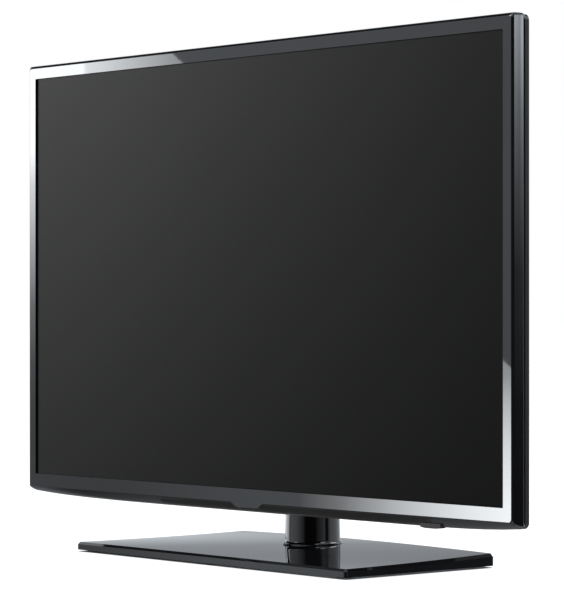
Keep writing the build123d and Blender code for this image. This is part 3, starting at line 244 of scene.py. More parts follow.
def newFinish(name, look):
    material = bpy.data.materials.new(name)
    material.use_nodes = True
    tree = material.node_tree
    sockets = tree.nodes["Principled BSDF"].inputs
    sockets["Roughness"].default_value = look["rough"]
    sockets["Metallic"].default_value = look.get("metal", 0.0)
    sockets["Specular IOR Level"].default_value = look.get("shine", 0.5)
    sockets["IOR"].default_value = 1.5
    return material, tree, sockets


def addBump(tree, sockets, height, strength, depth):
    bump = addNode(tree, "ShaderNodeBump", Strength=strength, Distance=depth, Height=height)
    feed(tree, sockets["Normal"], bump.outputs["Normal"])


def varyRough(tree, sockets, mask, look, less, more):
    rough = look["rough"]
    feed(tree, sockets["Roughness"], spread(tree, mask, 0.0, 1.0, rough - less, rough + more))


def dustOver(tree, look, colour):
    # The colour with dust on it, and where the specks lie
    dust = useGroup(tree, settledDust, look["speckScale"], look["dust"])
    filmed = mixColours(tree, dust["Film"], colour, look["dustColour"])
    return mixColours(tree, dust["Specks"], filmed, look["speckColour"]), dust["Specks"]


def polishedFinish(name, look):
    # High-gloss plastic: a mirror surface with wipe marks and a few specks of dust
    material, tree, sockets = newFinish(name, look)
    marks = useGroup(tree, wipeMarks, look["markScale"], look["marks"])
    grain = useGroup(tree, mouldedGrain, look["flowScale"], look["driftScale"])
    toned = mixColours(tree, grain["Drift"], look["colour"], look["colourTwo"])
    shown, specks = dustOver(tree, look, toned)
    feed(tree, sockets["Base Color"], shown)
    rough = sumUp(tree, "ADD", product(tree, marks["Marks"], look["markRough"]), look["rough"])
    feed(tree, sockets["Roughness"], sumUp(tree, "ADD", rough, product(tree, specks, look["speckRough"]), True))
    addBump(tree, sockets, grain["Height"], look["flow"], look["flowDepth"])
    return material


def grainedFinish(name, look):
    # Matt moulded plastic or rubber
    material, tree, sockets = newFinish(name, look)
    grain = useGroup(tree, mouldedGrain, look["grainScale"], look["driftScale"])
    toned = mixColours(tree, grain["Drift"], look["colour"], look["colourTwo"])
    pitted = mixColours(tree, grain["Pits"], toned, look["pitColour"])
    feed(tree, sockets["Base Color"], dustOver(tree, look, pitted)[0])
    varyRough(tree, sockets, grain["Pits"], look, 0.07, 0.07)
    addBump(tree, sockets, grain["Height"], look["relief"], look["depth"])
    return material


def metalFinish(name, look):
    # Sheet or cast metal, with drawn lines and blotches of oxide
    material, tree, sockets = newFinish(name, look)
    lines = useGroup(tree, drawnLines, look["lineScale"], look["blotchScale"])
    toned = mixColours(tree, lines["Tone"], look["colour"], look["colourTwo"])
    blotch = product(tree, lines["Blotch"], look["blotches"])
    feed(tree, sockets["Base Color"], mixColours(tree, blotch, toned, look["blotchColour"]))
    varyRough(tree, sockets, lines["Blotch"], look, 0.06, 0.1)
    addBump(tree, sockets, lines["Height"], look["relief"], look["depth"])
    return material


pianoBlackLook = {
    "colour": (0.0040, 0.0042, 0.0052), "colourTwo": (0.0050, 0.0052, 0.0062), "rough": 0.018,
    "markScale": 70.0, "marks": 0.35, "markRough": 0.05, "flowScale": 38.0, "flow": 0.05, "flowDepth": 0.00015,
    "driftScale": 4.0, "speckScale": 520.0, "dust": 0.22, "dustColour": (0.03, 0.03, 0.032),
    "speckColour": (0.35, 0.34, 0.33), "speckRough": 0.6,
}
rearPlasticLook = {
    "colour": (0.0085, 0.0087, 0.0094), "colourTwo": (0.0110, 0.0112, 0.0120), "pitColour": (0.0062, 0.0064, 0.0070),
    "rough": 0.44, "shine": 0.18, "grainScale": 820.0, "driftScale": 6.0, "relief": 0.55, "depth": 0.00022,
    "speckScale": 420.0, "dust": 0.30, "dustColour": (0.055, 0.054, 0.052), "speckColour": (0.30, 0.29, 0.28),
}

finishes = {
    "gloss_black": polishedFinish("pianoBlack", pianoBlackLook),
    "rear_plastic": grainedFinish("rearPlastic", rearPlasticLook),
    "window": polishedFinish("smokedWindow", {
        **pianoBlackLook, "colour": (0.010, 0.0022, 0.0026), "colourTwo": (0.014, 0.0030, 0.0030), "rough": 0.06,
    }),
    "inner_plastic": grainedFinish("innerPlastic", {
        **rearPlasticLook, "colour": (0.022, 0.022, 0.023), "colourTwo": (0.028, 0.028, 0.029),
        "pitColour": (0.018, 0.018, 0.019), "rough": 0.5, "grainScale": 600.0, "dust": 0.1,
    }),
    "light_sheet": grainedFinish("lightSheet", {
        **rearPlasticLook, "colour": (0.78, 0.79, 0.80), "colourTwo": (0.83, 0.83, 0.83),
        "pitColour": (0.74, 0.75, 0.77), "rough": 0.36, "grainScale": 1500.0, "relief": 0.2, "depth": 0.0001,
        "dust": 0.0,
    }),
    "sheet_steel": metalFinish("galvanised", {
        "colour": (0.50, 0.51, 0.52), "colourTwo": (0.60, 0.61, 0.62), "blotchColour": (0.38, 0.40, 0.42),
        "blotches": 0.6, "metal": 1.0, "rough": 0.36, "lineScale": 260.0, "blotchScale": 120.0, "relief": 0.15,
        "depth": 0.0001,
    }),
    "screw_steel": metalFinish("blackenedScrew", {
        "colour": (0.085, 0.085, 0.090), "colourTwo": (0.12, 0.12, 0.125), "blotchColour": (0.22, 0.21, 0.20),
        "blotches": 0.35, "metal": 1.0, "rough": 0.34, "lineScale": 900.0, "blotchScale": 900.0, "relief": 0.2,
        "depth": 0.00004,
    }),
    "aluminium": metalFinish("castAluminium", {
        "colour": (0.60, 0.61, 0.63), "colourTwo": (0.72, 0.73, 0.74), "blotchColour": (0.48, 0.49, 0.51),
        "blotches": 0.5, "metal": 1.0, "rough": 0.42, "lineScale": 700.0, "blotchScale": 260.0, "relief": 0.3,
        "depth": 0.00012,
    }),
    "socket_metal": metalFinish("nickelShell", {
        "colour": (0.62, 0.61, 0.58), "colourTwo": (0.74, 0.73, 0.70), "blotchColour": (0.52, 0.50, 0.47),
        "blotches": 0.3, "metal": 1.0, "rough": 0.26, "lineScale": 1500.0, "blotchScale": 500.0, "relief": 0.12,
        "depth": 0.00003,
    }),
    "coil": metalFinish("copperWinding", {
        "colour": (0.42, 0.16, 0.06), "colourTwo": (0.62, 0.27, 0.10), "blotchColour": (0.22, 0.08, 0.035),
        "blotches": 0.5, "metal": 0.6, "rough": 0.4, "lineScale": 1400.0, "blotchScale": 300.0, "relief": 0.6,
        "depth": 0.0003,
    }),
    "jack_plastic": grainedFinish("jackPlastic", {
        **rearPlasticLook, "colour": (0.014, 0.014, 0.015), "colourTwo": (0.019, 0.019, 0.020), "rough": 0.38,
        "grainScale": 1400.0, "relief": 0.3, "depth": 0.00008, "dust": 0.1,
    }),
    "cable": grainedFinish("ribbonCable", {
        **rearPlasticLook, "colour": (0.68, 0.66, 0.60), "colourTwo": (0.74, 0.72, 0.66),
        "pitColour": (0.58, 0.56, 0.50), "rough": 0.42, "grainScale": 500.0, "relief": 0.25, "depth": 0.0001,
        "dust": 0.0,
    }),
    "rubber": grainedFinish("footRubber", {
        **rearPlasticLook, "colour": (0.020, 0.020, 0.020), "colourTwo": (0.028, 0.028, 0.027),
        "pitColour": (0.014, 0.014, 0.014), "rough": 0.82, "shine": 0.3, "grainScale": 1100.0, "relief": 0.5,
        "depth": 0.0002, "dust": 0.3,
    }),
}
print("shared finishes made")


# The picture: a matt film over the black cells, with the thin dark border that frames them

screenLook = {
    "colour": (0.0024, 0.0024, 0.0025), "colourTwo": (0.0030, 0.0030, 0.0031), "borderColour": (0.0012, 0.0012, 0.0012),
    "border": 0.9 * mm, "fade": 0.2 * mm, "driftScale": 3.0, "rough": 0.30, "shine": 0.026, "filmScale": 2600.0,
    "film": 0.25, "filmDepth": 0.00002, "halfWide": 510.0 * mm, "halfHigh": 287.0 * mm, "middle": 384.0 * mm,
}


def screenFinish(look):
    material, tree, sockets = newFinish("mattScreen", look)
    place = splitUp(tree, pieceSpace(tree))
    beside = sumUp(tree, "ABSOLUTE", place["X"])
    above = sumUp(tree, "ABSOLUTE", sumUp(tree, "SUBTRACT", place["Z"], look["middle"]))
    edges = []
    for value, half in ((beside, look["halfWide"]), (above, look["halfHigh"])):
        edges.append(spread(tree, value, half - look["border"], half - look["border"] + look["fade"]))
    grain = useGroup(tree, mouldedGrain, look["filmScale"], look["driftScale"])
    cells = mixColours(tree, grain["Drift"], look["colour"], look["colourTwo"])
    border = sumUp(tree, "MAXIMUM", *edges)
    feed(tree, sockets["Base Color"], mixColours(tree, border, cells, look["borderColour"]))
    varyRough(tree, sockets, grain["Pits"], look, 0.03, 0.03)
    addBump(tree, sockets, grain["Height"], look["film"], look["filmDepth"])
    return material


finishes["screen"] = screenFinish(screenLook)


# Circuit boards: lacquer over copper tracks, with bare pads

boardLook = {
    "lacquer": (0.010, 0.075, 0.030), "track": (0.022, 0.145, 0.060), "pad": (0.62, 0.55, 0.36), "rough": 0.28,
    "trackScale": 190.0, "trackPitch": 0.09, "padScale": 260.0, "padMetal": 0.9, "relief": 0.3, "depth": 0.00005,
}


def boardFinish(look):
    material, tree, sockets = newFinish("greenBoard", look)
    space = pieceSpace(tree)
    blocks = addNode(
        tree, "ShaderNodeTexVoronoi", feature="F1", distance="CHEBYCHEV", Scale=look["trackScale"], Vector=space,
    )
    tracks = spread(tree, sumUp(tree, "PINGPONG", blocks.outputs["Distance"], look["trackPitch"]), 0.04, 0.05)
    dots = addNode(tree, "ShaderNodeTexVoronoi", feature="F1", Scale=look["padScale"], Vector=space)
    pads = spread(tree, dots.outputs["Distance"], 0.17, 0.14)
    laid = mixColours(tree, tracks, look["lacquer"], look["track"])
    feed(tree, sockets["Base Color"], mixColours(tree, pads, laid, look["pad"]))
    feed(tree, sockets["Metallic"], spread(tree, pads, 0.0, 1.0, 0.0, look["padMetal"]))
    addBump(tree, sockets, sumUp(tree, "ADD", tracks, pads), look["relief"], look["depth"])
    return material


finishes["circuit_board"] = boardFinish(boardLook)

slotOf = {part["node"]: part["material_slot"] for part in frame["record"]["subparts"]}


def dress(piece, finish):
    piece.data.materials.clear()
    piece.data.materials.append(finish)


for name, node in nodes.items():
    dress(node, finishes[slotOf[name]])
print("CAD nodes dressed:", len(nodes))


# Mesh helpers, with sizes in millimetres

def toMesh(name, built):
    mesh = bpy.data.meshes.new(name)
    built.to_mesh(mesh)
    built.free()
    return mesh


def addObject(name, data):
    made = bpy.data.objects.new(name, data)
    bpy.context.scene.collection.objects.link(made)
    return made


def keepPiece(name, body, slot, mesh, smoothAngle, node=None, finish=None):
    mesh.materials.clear()
    mesh.materials.append(finish or finishes[slot])
    mesh.polygons.foreach_set("use_smooth", [True] * len(mesh.polygons))
    mesh.set_sharp_from_angle(angle=math.radians(smoothAngle))
    piece = addObject(name, mesh)
    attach(piece, body)
    if node:
        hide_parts(node)
    return piece


def shadeEvenly(piece):
    even = piece.modifiers.new("evenShading", "WEIGHTED_NORMAL")
    even.keep_sharp = True
    even.weight = 80


def softenEdges(piece, width, segments, angle):
    bevel = piece.modifiers.new("softEdges", "BEVEL")
    bevel.width = width * mm
    bevel.segments = segments
    bevel.limit_method = "ANGLE"
    bevel.angle_limit = math.radians(angle)
    bevel.harden_normals = False
    bevel.use_clamp_overlap = True
    shadeEvenly(piece)


def softCopy(name, node, body, width, segments, angle):
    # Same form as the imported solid, with its triangles joined to faces and its edges rounded
    built = bmesh.new()
    built.from_mesh(nodes[node].data)
    bmesh.ops.remove_doubles(built, verts=built.verts, dist=0.002 * mm)
    bmesh.ops.dissolve_limit(
        built, angle_limit=math.radians(0.8), verts=built.verts, edges=built.edges, use_dissolve_boundaries=False,
    )
    mesh = toMesh(name, built)
    for extra in ("custom_normal", "sharp_edge", "sharp_face"):
        if extra in mesh.attributes:
            mesh.attributes.remove(mesh.attributes[extra])
    piece = keepPiece(name, body, slotOf[node], mesh, angle, node)
    softenEdges(piece, width, segments, angle)
    return piece


def skinRings(rings, closed=False):
    # Joins outlines of the same count one after another, round to the first or with both ends covered
    built = bmesh.new()
    rows = [[built.verts.new([value * mm for value in point]) for point in ring] for ring in rings]
    for row, after in zip(rows, rows[1:] + rows[:1] if closed else rows[1:]):
        for index in range(len(row)):
            beyond = (index + 1) % len(row)
            built.faces.new((row[index], row[beyond], after[beyond], after[index]))
    if not closed:
        built.faces.new(rows[0])
        built.faces.new(rows[-1])
    bmesh.ops.recalc_face_normals(built, faces=built.faces)
    return built


def lathe(profile, turns):
    # Turned form: (radius, height) points spun round Z
    built = bmesh.new()
    rings = []
    for radius, height in profile:
        angles = [2 * math.pi * step / turns for step in range(turns if radius else 1)]
        rings.append([
            built.verts.new((radius * mm * math.cos(angle), radius * mm * math.sin(angle), height * mm))
            for angle in angles
        ])
    for low, high in zip(rings, rings[1:]):
        for step in range(turns):
            after = (step + 1) % turns
            corners = [low[step % len(low)], low[after % len(low)], high[after % len(high)], high[step % len(high)]]
            seen = list(dict.fromkeys(corners))
            if len(seen) > 2:
                built.faces.new(seen)
    bmesh.ops.recalc_face_normals(built, faces=built.faces)
    return built


def roundedBar(low, high, edge, segments=2):
    built = bmesh.new()
    made = bmesh.ops.create_cube(built, size=1.0)
    low, high = Vector(low) * mm, Vector(high) * mm
    matrix = Matrix.Translation((high + low) / 2) @ Matrix.Diagonal((*(high - low), 1))
    bmesh.ops.transform(built, matrix=matrix, verts=made["verts"])
    bmesh.ops.bevel(
        built, geom=built.edges[:], offset=edge * mm, segments=segments, profile=0.5, affect="EDGES",
        clamp_overlap=True,
    )
    return built


def gather(target, source, matrix=Matrix.Identity(4)):
    # Adds a copy of one form to another at a place
    made = bpy.data.meshes.new("part")
    source.to_mesh(made)
    made.transform(matrix)
    target.from_mesh(made)
    bpy.data.meshes.remove(made)


def cutWith(name, base, *cutters):
    # Cuts forms out of a form, one after another
    mesh = toMesh(name, base)
    for cutter in cutters:
        pieces = [addObject("cutBase", mesh), addObject("cutTool", toMesh("cutTool", cutter))]
        cut = pieces[0].modifiers.new("cut", "BOOLEAN")
        cut.operation = "DIFFERENCE"
        cut.solver = "EXACT"
        cut.object = pieces[1]
        bpy.context.view_layer.update()
        depsgraph = bpy.context.evaluated_depsgraph_get()
        mesh = bpy.data.meshes.new_from_object(pieces[0].evaluated_get(depsgraph))
        mesh.name = name
        for made in pieces:
            bpy.data.objects.remove(made)
    return mesh


def turned(direction):
    # Rotation that takes +Z to a direction
    return Vector(direction).to_track_quat("Z", "Y").to_matrix().to_4x4()


def solidBoxes(node):
    # Low and high corners of each of a node's separate solids
    made = bmesh.new()
    made.from_mesh(nodes[node].data)
    bmesh.ops.remove_doubles(made, verts=made.verts, dist=0.002 * mm)
    left, boxes = set(made.verts), []
    while left:
        start = left.pop()
        island, front = [start], [start]
        while front:
            vertex = front.pop()
            for edge in vertex.link_edges:
                other = edge.other_vert(vertex)
                if other in left:
                    left.discard(other)
                    island.append(other)
                    front.append(other)
        boxes.append([Vector(pick(v.co[axis] for v in island) for axis in range(3)) for pick in (min, max)])
    made.free()
    return boxes


# Front frame: closed outlines, one inside the other, joined into a skin

def alongLine(value, points):
    # Smooth curve through (place, value) points
    if value <= points[0][0]:
        return points[0][1]
    for (low, first), (high, second) in zip(points, points[1:]):
        if value <= high:
            share = (value - low) / (high - low)
            share = share * share * (3 - 2 * share) * 0.35 + share * 0.65
            return first + share * (second - first)
    return points[-1][1]


frameShape = {
    "face": -64.5, "corner": 4.5, "outerCorner": 3.6, "cornerSteps": 8, "sideSteps": 14, "topSteps": 12,
    "wallSteps": 8,
    "opening": (510.0, 671.0, 97.0),
    # Lower edge of the flat face, and of the whole frame, from left to right
    "faceLow": [(-529, 80.2), (-480, 78.9), (-300, 78.3), (0, 78.5), (230, 79.1), (420, 79.7), (529, 79.9)],
    "lowest": [
        (-529, 70.9), (-497, 69.3), (-471, 68.0), (-430, 67.1), (-385, 66.4), (-310, 65.7), (-200, 65.5), (0, 65.6),
        (200, 65.6), (310, 65.7), (394, 66.1), (430, 66.7), (467, 67.8), (497, 69.3), (529, 71.6),
    ],
    # Rows of (depth, distance): the opening's edge, side outward, top upward, and lower share from the face's
    # edge to the lowest line
    "mouth": [(4.6, 0.0), (0.4, 0.0), (0.1, 0.1), (0.0, 0.35)], "mouthCorner": 0.8,
    "side": [
        (0, 524.8), (0.18, 525.2), (1.7, 527.9), (2.2, 528.35), (8, 528.95), (13, 529.0), (17.2, 528.65),
        (19.4, 527.5), (20, 527.2),
    ],
    "upper": [
        (0, 686.3), (0.2, 686.75), (1.8, 689.0), (2.6, 689.8), (4, 690.4), (10, 690.5), (17.2, 690.4),
        (19.4, 689.4), (20, 689.2),
    ],
    "lower": [
        (0, 0.0), (0.3, 0.035), (2.6, 0.27), (6, 0.54), (10.2, 0.79), (13.6, 0.92), (17, 1.0), (19.4, 0.99),
        (20, 0.94),
    ],
    # Inside: depth, half width and top of the wall behind the side, and of the lip's back
    "wall": (19.9, 526.2, 688.2), "wallUnder": 2.6, "lip": (4.6, 525.6, 687.6), "lipLow": 81.0, "innerCorner": 2.6,
    # Badge place: how far it reaches below the face, by distance from the middle
    "tab": [(0, 6.6), (22.0, 6.6), (23.6, 6.0), (25.0, 5.2), (34.6, 0.2), (35.6, 0.0), (60, 0.0)],
    "tabStations": (0, 10, 20, 22, 23.6, 25, 28, 31, 34.6, 35.6, 40, 60), "tabStep": 0.03, "faceLift": 0.2,
}


def frameRow(shape, side, upper, lowAt, corner):
    # One outline round the frame; side and upper are (depth, distance), lowAt gives (depth, z) at x
    (sideDepth, half), (topDepth, high) = side, upper
    inner, start, steps = half - corner, shape["tabStations"][-1], shape["sideSteps"]
    stations = {*shape["tabStations"], inner, *(start + (inner - start) * step / steps for step in range(1, steps))}
    points = [(x, *lowAt(x)) for x in sorted(stations | {-x for x in stations})]
    (rightDepth, rightLow), (leftDepth, leftLow) = lowAt(half), lowAt(-half)

    def addArc(x, z, quarter, first, last):
        for step in range(1, shape["cornerSteps"]):
            share = step / shape["cornerSteps"]
            turn = math.pi / 2 * (quarter + share)
            points.append((x + corner * math.cos(turn), first + share * (last - first), z + corner * math.sin(turn)))

    def addSide(x, first, last):
        for step in range(shape["wallSteps"] + 1):
            points.append((x, sideDepth, first + (last - first) * step / shape["wallSteps"]))

    addArc(inner, rightLow + corner, -1, rightDepth, sideDepth)
    addSide(half, rightLow + corner, high - corner)
    addArc(inner, high - corner, 0, sideDepth, topDepth)
    for step in range(shape["topSteps"] + 1):
        points.append((inner * (1 - 2 * step / shape["topSteps"]), topDepth, high))
    addArc(-inner, high - corner, 1, topDepth, sideDepth)
    addSide(-half, high - corner, leftLow + corner)
    addArc(-inner, leftLow + corner, 2, sideDepth, leftDepth)
    return points


def makeFrame(shape):
    def outerLow(index):
        depth, share = shape["lower"][index]

        def at(x):
            faceLow = alongLine(x, shape["faceLow"])
            z = faceLow + share * (alongLine(x, shape["lowest"]) - faceLow)
            tab = faceLow - alongLine(abs(x), shape["tab"]) - shape["tabStep"] * index
            return depth, min(z, tab) + (0 if index else shape["faceLift"])

        return at

    half, top, low = shape["opening"]
    rows = []
    for depth, out in shape["mouth"]:
        under = (depth, low - out)
        rows.append(frameRow(
            shape, (depth, half + out), (depth, top + out), lambda x, at=under: at, shape["mouthCorner"] + out,
        ))
    for index, (side, upper) in enumerate(zip(shape["side"], shape["upper"])):
        corner = shape["corner"] if index < 2 else shape["outerCorner"]
        rows.append(frameRow(shape, side, upper, outerLow(index), corner))
    depth, half, top = shape["wall"]
    rows.append(frameRow(
        shape, (depth, half), (depth, top), lambda x: (depth, alongLine(x, shape["lowest"]) + shape["wallUnder"]),
        shape["innerCorner"],
    ))
    back, half, top = shape["lip"]
    rows.append(frameRow(
        shape, (back, half), (back, top), lambda x: (back, shape["lipLow"]), shape["innerCorner"],
    ))
    skin = skinRings([[(x, shape["face"] + y, z) for x, y, z in row] for row in rows], True)
    piece = keepPiece("frontFrame", "screen", "gloss_black", toMesh("frontFrame", skin), 18, "front_bezel")
    shadeEvenly(piece)
    return piece


frontFrame = makeFrame(frameShape)

lensShape = {
    "x": 366.5, "half": 19.5, "front": 8.0, "rear": 16.4, "low": 64.2, "neck": 65.6, "high": 73.0, "edge": 0.35,
    "steps": 24,
}


def makeSensorLens(shape):
    # Smoked window that hangs just below the frame, its underside a shallow arc
    half, neck, high = shape["half"], shape["neck"], shape["high"]
    outline = [(-half, high)]
    for step in range(shape["steps"] + 1):
        share = 2 * step / shape["steps"] - 1
        outline.append((share * half, neck - (neck - shape["low"]) * (1 - share ** 4)))
    outline.append((half, high))
    rings = []
    for depth in (shape["front"], shape["rear"]):
        rings.append([(shape["x"] + x, frameShape["face"] + depth, z) for x, z in outline])
    mesh = toMesh("sensorLens", skinRings(rings))
    softenEdges(keepPiece("sensorLens", "screen", "window", mesh, 30, "sensor_window"), shape["edge"], 2, 30)


makeSensorLens(lensShape)
panelShape = {"raised": 2.6, "clear": 0.06, "edge": 0.2}


def makePanel(shape):
    # Glass behind the frame, with the film that fills the opening standing proud of it
    low, high = [[value / mm for value in corner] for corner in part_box("picture_glass")]
    half, top, bottom = frameShape["opening"]
    gap, edge = shape["clear"], shape["edge"]
    film = frameShape["face"] + shape["raised"]

    def outline(y, left, right, under, over):
        return [(left, y, under), (right, y, under), (right, y, over), (left, y, over)]

    inner = (-half + gap, half - gap, bottom + gap, top - gap)
    face = (inner[0] + edge, inner[1] - edge, inner[2] + edge, inner[3] - edge)
    rings = [outline(y, low[0], high[0], low[2], high[2]) for y in (high[1], low[1])]
    rings += [outline(low[1], *inner), outline(film + edge, *inner), outline(film, *face)]
    mesh = toMesh("picturePanel", skinRings(rings))
    return keepPiece("picturePanel", "screen", "screen", mesh, 30, "picture_glass")


picturePanel = makePanel(panelShape)
rearShell = softCopy("rearShell", "rear_cover", "screen", 0.45, 2, 24)
rimTuck = {"behind": -40.0, "beyond": 500.0, "inward": 0.8}


def tuckRim(piece, shape):
    # The cover's rim leans in a little from the frame
    for vertex in piece.data.vertices:
        x, y, z = vertex.co / mm
        if y > shape["behind"] and abs(x) > shape["beyond"]:
            vertex.co.x -= math.copysign(shape["inward"], x) * mm


tuckRim(rearShell, rimTuck)
softCopy("neckHood", "neck_rear_cover", "screen", 0.5, 2, 24)
print("frame and covers built")


# Stand: domed base, turned neck, feet

baseShape = {
    "front": -135.5, "rear": 135.5, "frontHalf": 298.0, "rearHalf": 270.0, "gap": 2.5, "bevel": 4.0, "neckY": 47.5,
    # Heights of the side's top, of its bevel's edge and of the crown
    "frontHeights": (10.0, 13.0, 13.4), "neckHeights": (12.0, 16.0, 20.0), "rearHeights": (14.7, 18.7, 21.5),
    "stations": 41, "acrossSteps": 60, "wall": 3.0, "roof": 6.4, "hole": 34.0, "edge": 0.4, "corner": 5.0,
    "below": -2.5, "drillLow": 1.0, "above": 40.0,
}


def threeWay(y, ys, values):
    # Smooth curve through three heights along the base
    first, second, third = ys
    low, middle, high = values
    rise = (middle - low) / (second - first)
    bend = ((high - middle) / (third - second) - rise) / (third - first)
    return low + rise * (y - first) + bend * (y - first) * (y - second)


def baseSection(shape, y, heights):
    # One section across the base, left foot to right foot
    sideTop, edge, crown = heights
    share = (y - shape["front"]) / (shape["rear"] - shape["front"])
    half = shape["frontHalf"] + share * (shape["rearHalf"] - shape["frontHalf"])
    inner = half - shape["bevel"]
    rise = crown - edge
    radius = (inner * inner + rise * rise) / (2 * rise)
    points = [(-half, y, shape["gap"]), (-half, y, sideTop)]
    for step in range(shape["acrossSteps"] + 1):
        x = -inner + 2 * inner * step / shape["acrossSteps"]
        points.append((x, y, crown - radius + math.sqrt(radius * radius - x * x)))
    return points + [(half, y, sideTop), (half, y, shape["gap"])]


def endSection(shape, y, heights):
    side, edge, crown = heights
    return baseSection(shape, y, (side - (edge - side) / 2, side, side + crown - edge))


def cornerCut(corner, first, second, radius, heights, spare=4.0, steps=12):
    # Prism that takes a corner off to a round; first and second are the next corners along the outline
    here = Vector(corner)
    along = (Vector(first) - here).normalized()
    across = (Vector(second) - here).normalized()
    half = along.angle(across) / 2
    reach = radius / math.tan(half)
    centre = here + (along + across).normalized() * radius / math.sin(half)
    start, end = here + along * reach, here + across * reach
    outAlong, outAcross = (start - centre).normalized() * spare, (end - centre).normalized() * spare
    outline = [start + outAlong, here + outAlong + outAcross, end + outAcross]
    for step in range(steps + 1):
        share = step / steps
        spoke = ((1 - share) * (end - centre) + share * (start - centre)).normalized()
        outline.append(centre + spoke * radius)
    return skinRings([[(point.x, point.y, z) for point in outline] for z in heights])


def basePlan(shape, inset):
    front, rear = shape["frontHalf"] - inset, shape["rearHalf"] - inset
    low, high = shape["front"] + inset, shape["rear"] - inset
    return [(-front, low), (front, low), (rear, high), (-rear, high)]


def makeBase(shape):
    ys = (shape["front"] + shape["bevel"], shape["neckY"], shape["rear"] - shape["bevel"])
    sets = (shape["frontHeights"], shape["neckHeights"], shape["rearHeights"])
    sections = [endSection(shape, shape["front"], sets[0])]
    for step in range(shape["stations"]):
        y = ys[0] + (ys[2] - ys[0]) * step / (shape["stations"] - 1)
        sections.append(baseSection(shape, y, [threeWay(y, ys, values) for values in zip(*sets)]))
    sections.append(endSection(shape, shape["rear"], sets[2]))
    # Hollow below, so that the plate and the swivel have their room
    below, above, hole = shape["below"], shape["above"], shape["hole"]
    room = skinRings([[(*point, z) for point in basePlan(shape, shape["wall"])] for z in (below, shape["roof"])])
    drill = lathe([(0, shape["drillLow"]), (hole, shape["drillLow"]), (hole, above), (0, above)], 96)
    bmesh.ops.translate(drill, vec=(0, shape["neckY"] * mm, 0), verts=drill.verts)
    plan = basePlan(shape, 0)
    rounds = []
    for index, corner in enumerate(plan):
        ends = (below - 0.5, above)
        rounds.append(cornerCut(corner, plan[index - 1], plan[(index + 1) % 4], shape["corner"], ends))
    mesh = cutWith("domedBase", skinRings(sections), room, drill, *rounds)
    softenEdges(keepPiece("domedBase", "stand", "gloss_black", mesh, 20, "base_cover"), shape["edge"], 3, 20)


makeBase(baseShape)

neckShape = {
    "y": 47.5, "low": 20.4, "top": 98.0, "radius": 35.7, "lowRadius": 37.3, "footRadius": 40.5, "flare": 6.0,
    "lip": 0.5, "wall": 2.5, "edge": 0.4, "footEdge": 0.3, "steps": 10, "turns": 128,
}


def makeNeck(shape):
    low, top, radius, lowRadius, foot = [shape[key] for key in ("low", "top", "radius", "lowRadius", "footRadius")]
    flare, edge, lip = shape["flare"], shape["edge"], shape["lip"]
    start = (foot - shape["footEdge"], low)
    outline = [start]
    for step in range(shape["steps"] + 1):
        # The flare: a quarter curve that turns out to the foot
        turn = step / shape["steps"] * math.pi / 2
        across = lowRadius + (foot - lowRadius) * (1 - math.sin(turn))
        outline.append((across, low + lip + (flare - lip) * (1 - math.cos(turn))))
    for share in (0.25, 0.5, 0.75):
        outline.append((lowRadius + share * (radius - lowRadius), low + flare + share * (top - low - flare)))
    bore = radius - shape["wall"]
    outline += [(radius, top - edge), (radius - edge, top), (bore, top), (bore, low), start]
    built = lathe(outline, shape["turns"])
    bmesh.ops.remove_doubles(built, verts=built.verts, dist=0.01 * mm)
    bmesh.ops.translate(built, vec=(0, shape["y"] * mm, 0), verts=built.verts)
    return keepPiece("turnedNeck", "screen", "gloss_black", toMesh("turnedNeck", built), 40, "neck_shell")


turnedNeck = makeNeck(neckShape)

footShape = {"radius": 10.0, "tall": 2.5, "edge": 0.8, "groove": 6.5, "middle": 0.5}


def makeFeet(shape):
    radius, tall, edge, groove, middle = shape.values()
    pad = lathe([
        (0, middle), (groove - 0.8, middle), (groove, 0.3), (groove + 0.6, 0), (radius - edge, 0),
        (radius - 0.3 * edge, 0.25 * edge), (radius, edge), (radius, tall), (0, tall),
    ], 64)
    built = bmesh.new()
    for low, high in solidBoxes("base_feet"):
        gather(built, pad, Matrix.Translation(((low.x + high.x) / 2, (low.y + high.y) / 2, 0)))
    pad.free()
    keepPiece("rubberPads", "stand", "rubber", toMesh("rubberPads", built), 35, "base_feet")


makeFeet(footShape)
print("stand built")


# Screws that show: the way their heads look, the length of head above the seat, and their form

screwSets = {
    "coverScrewHeads": {
        "node": "cover_screws", "body": "screen", "axis": 1, "sign": 1, "seat": 2.4, "radius": 3.2, "thick": 2.3,
        "shank": 1.5, "reach": 7.9,
    },
    "neckScrewHeads": {
        "node": "neck_screws", "body": "screen", "axis": 1, "sign": 1, "seat": 4.0, "radius": 6.0, "thick": 3.9,
        "shank": 3.0, "reach": 16.0,
    },
    "baseScrewHeads": {
        "node": "base_screws", "body": "stand", "axis": 2, "sign": -1, "seat": 1.5, "radius": 3.5, "thick": 1.45,
        "shank": 1.8, "reach": 7.4,
    },
}


def panHead(radius, thick):
    # Screw head with a cross recess, its flat underside at zero
    curve = [(0, 1), (0.35, 0.985), (0.66, 0.90), (0.88, 0.68), (0.98, 0.40), (1, 0.22), (1, 0.06), (0.96, 0), (0, 0)]
    head = lathe([(across * radius, up * thick) for across, up in curve], 40)
    cross = bmesh.new()
    wing, arm, deep = 0.16 * radius, 0.62 * radius, 0.62 * thick
    for wide, tall in ((arm, wing), (wing, arm)):
        bar = roundedBar((-wide, -tall, thick - deep), (wide, tall, 1.3 * thick), 0.05 * radius, 1)
        for vertex in bar.verts:
            if vertex.co.z < (thick - 0.5 * deep) * mm:
                vertex.co.x *= 0.55
                vertex.co.y *= 0.55
        gather(cross, bar)
        bar.free()
    mesh = cutWith("panHead", head, cross)
    made = bmesh.new()
    made.from_mesh(mesh)
    bpy.data.meshes.remove(mesh)
    return made


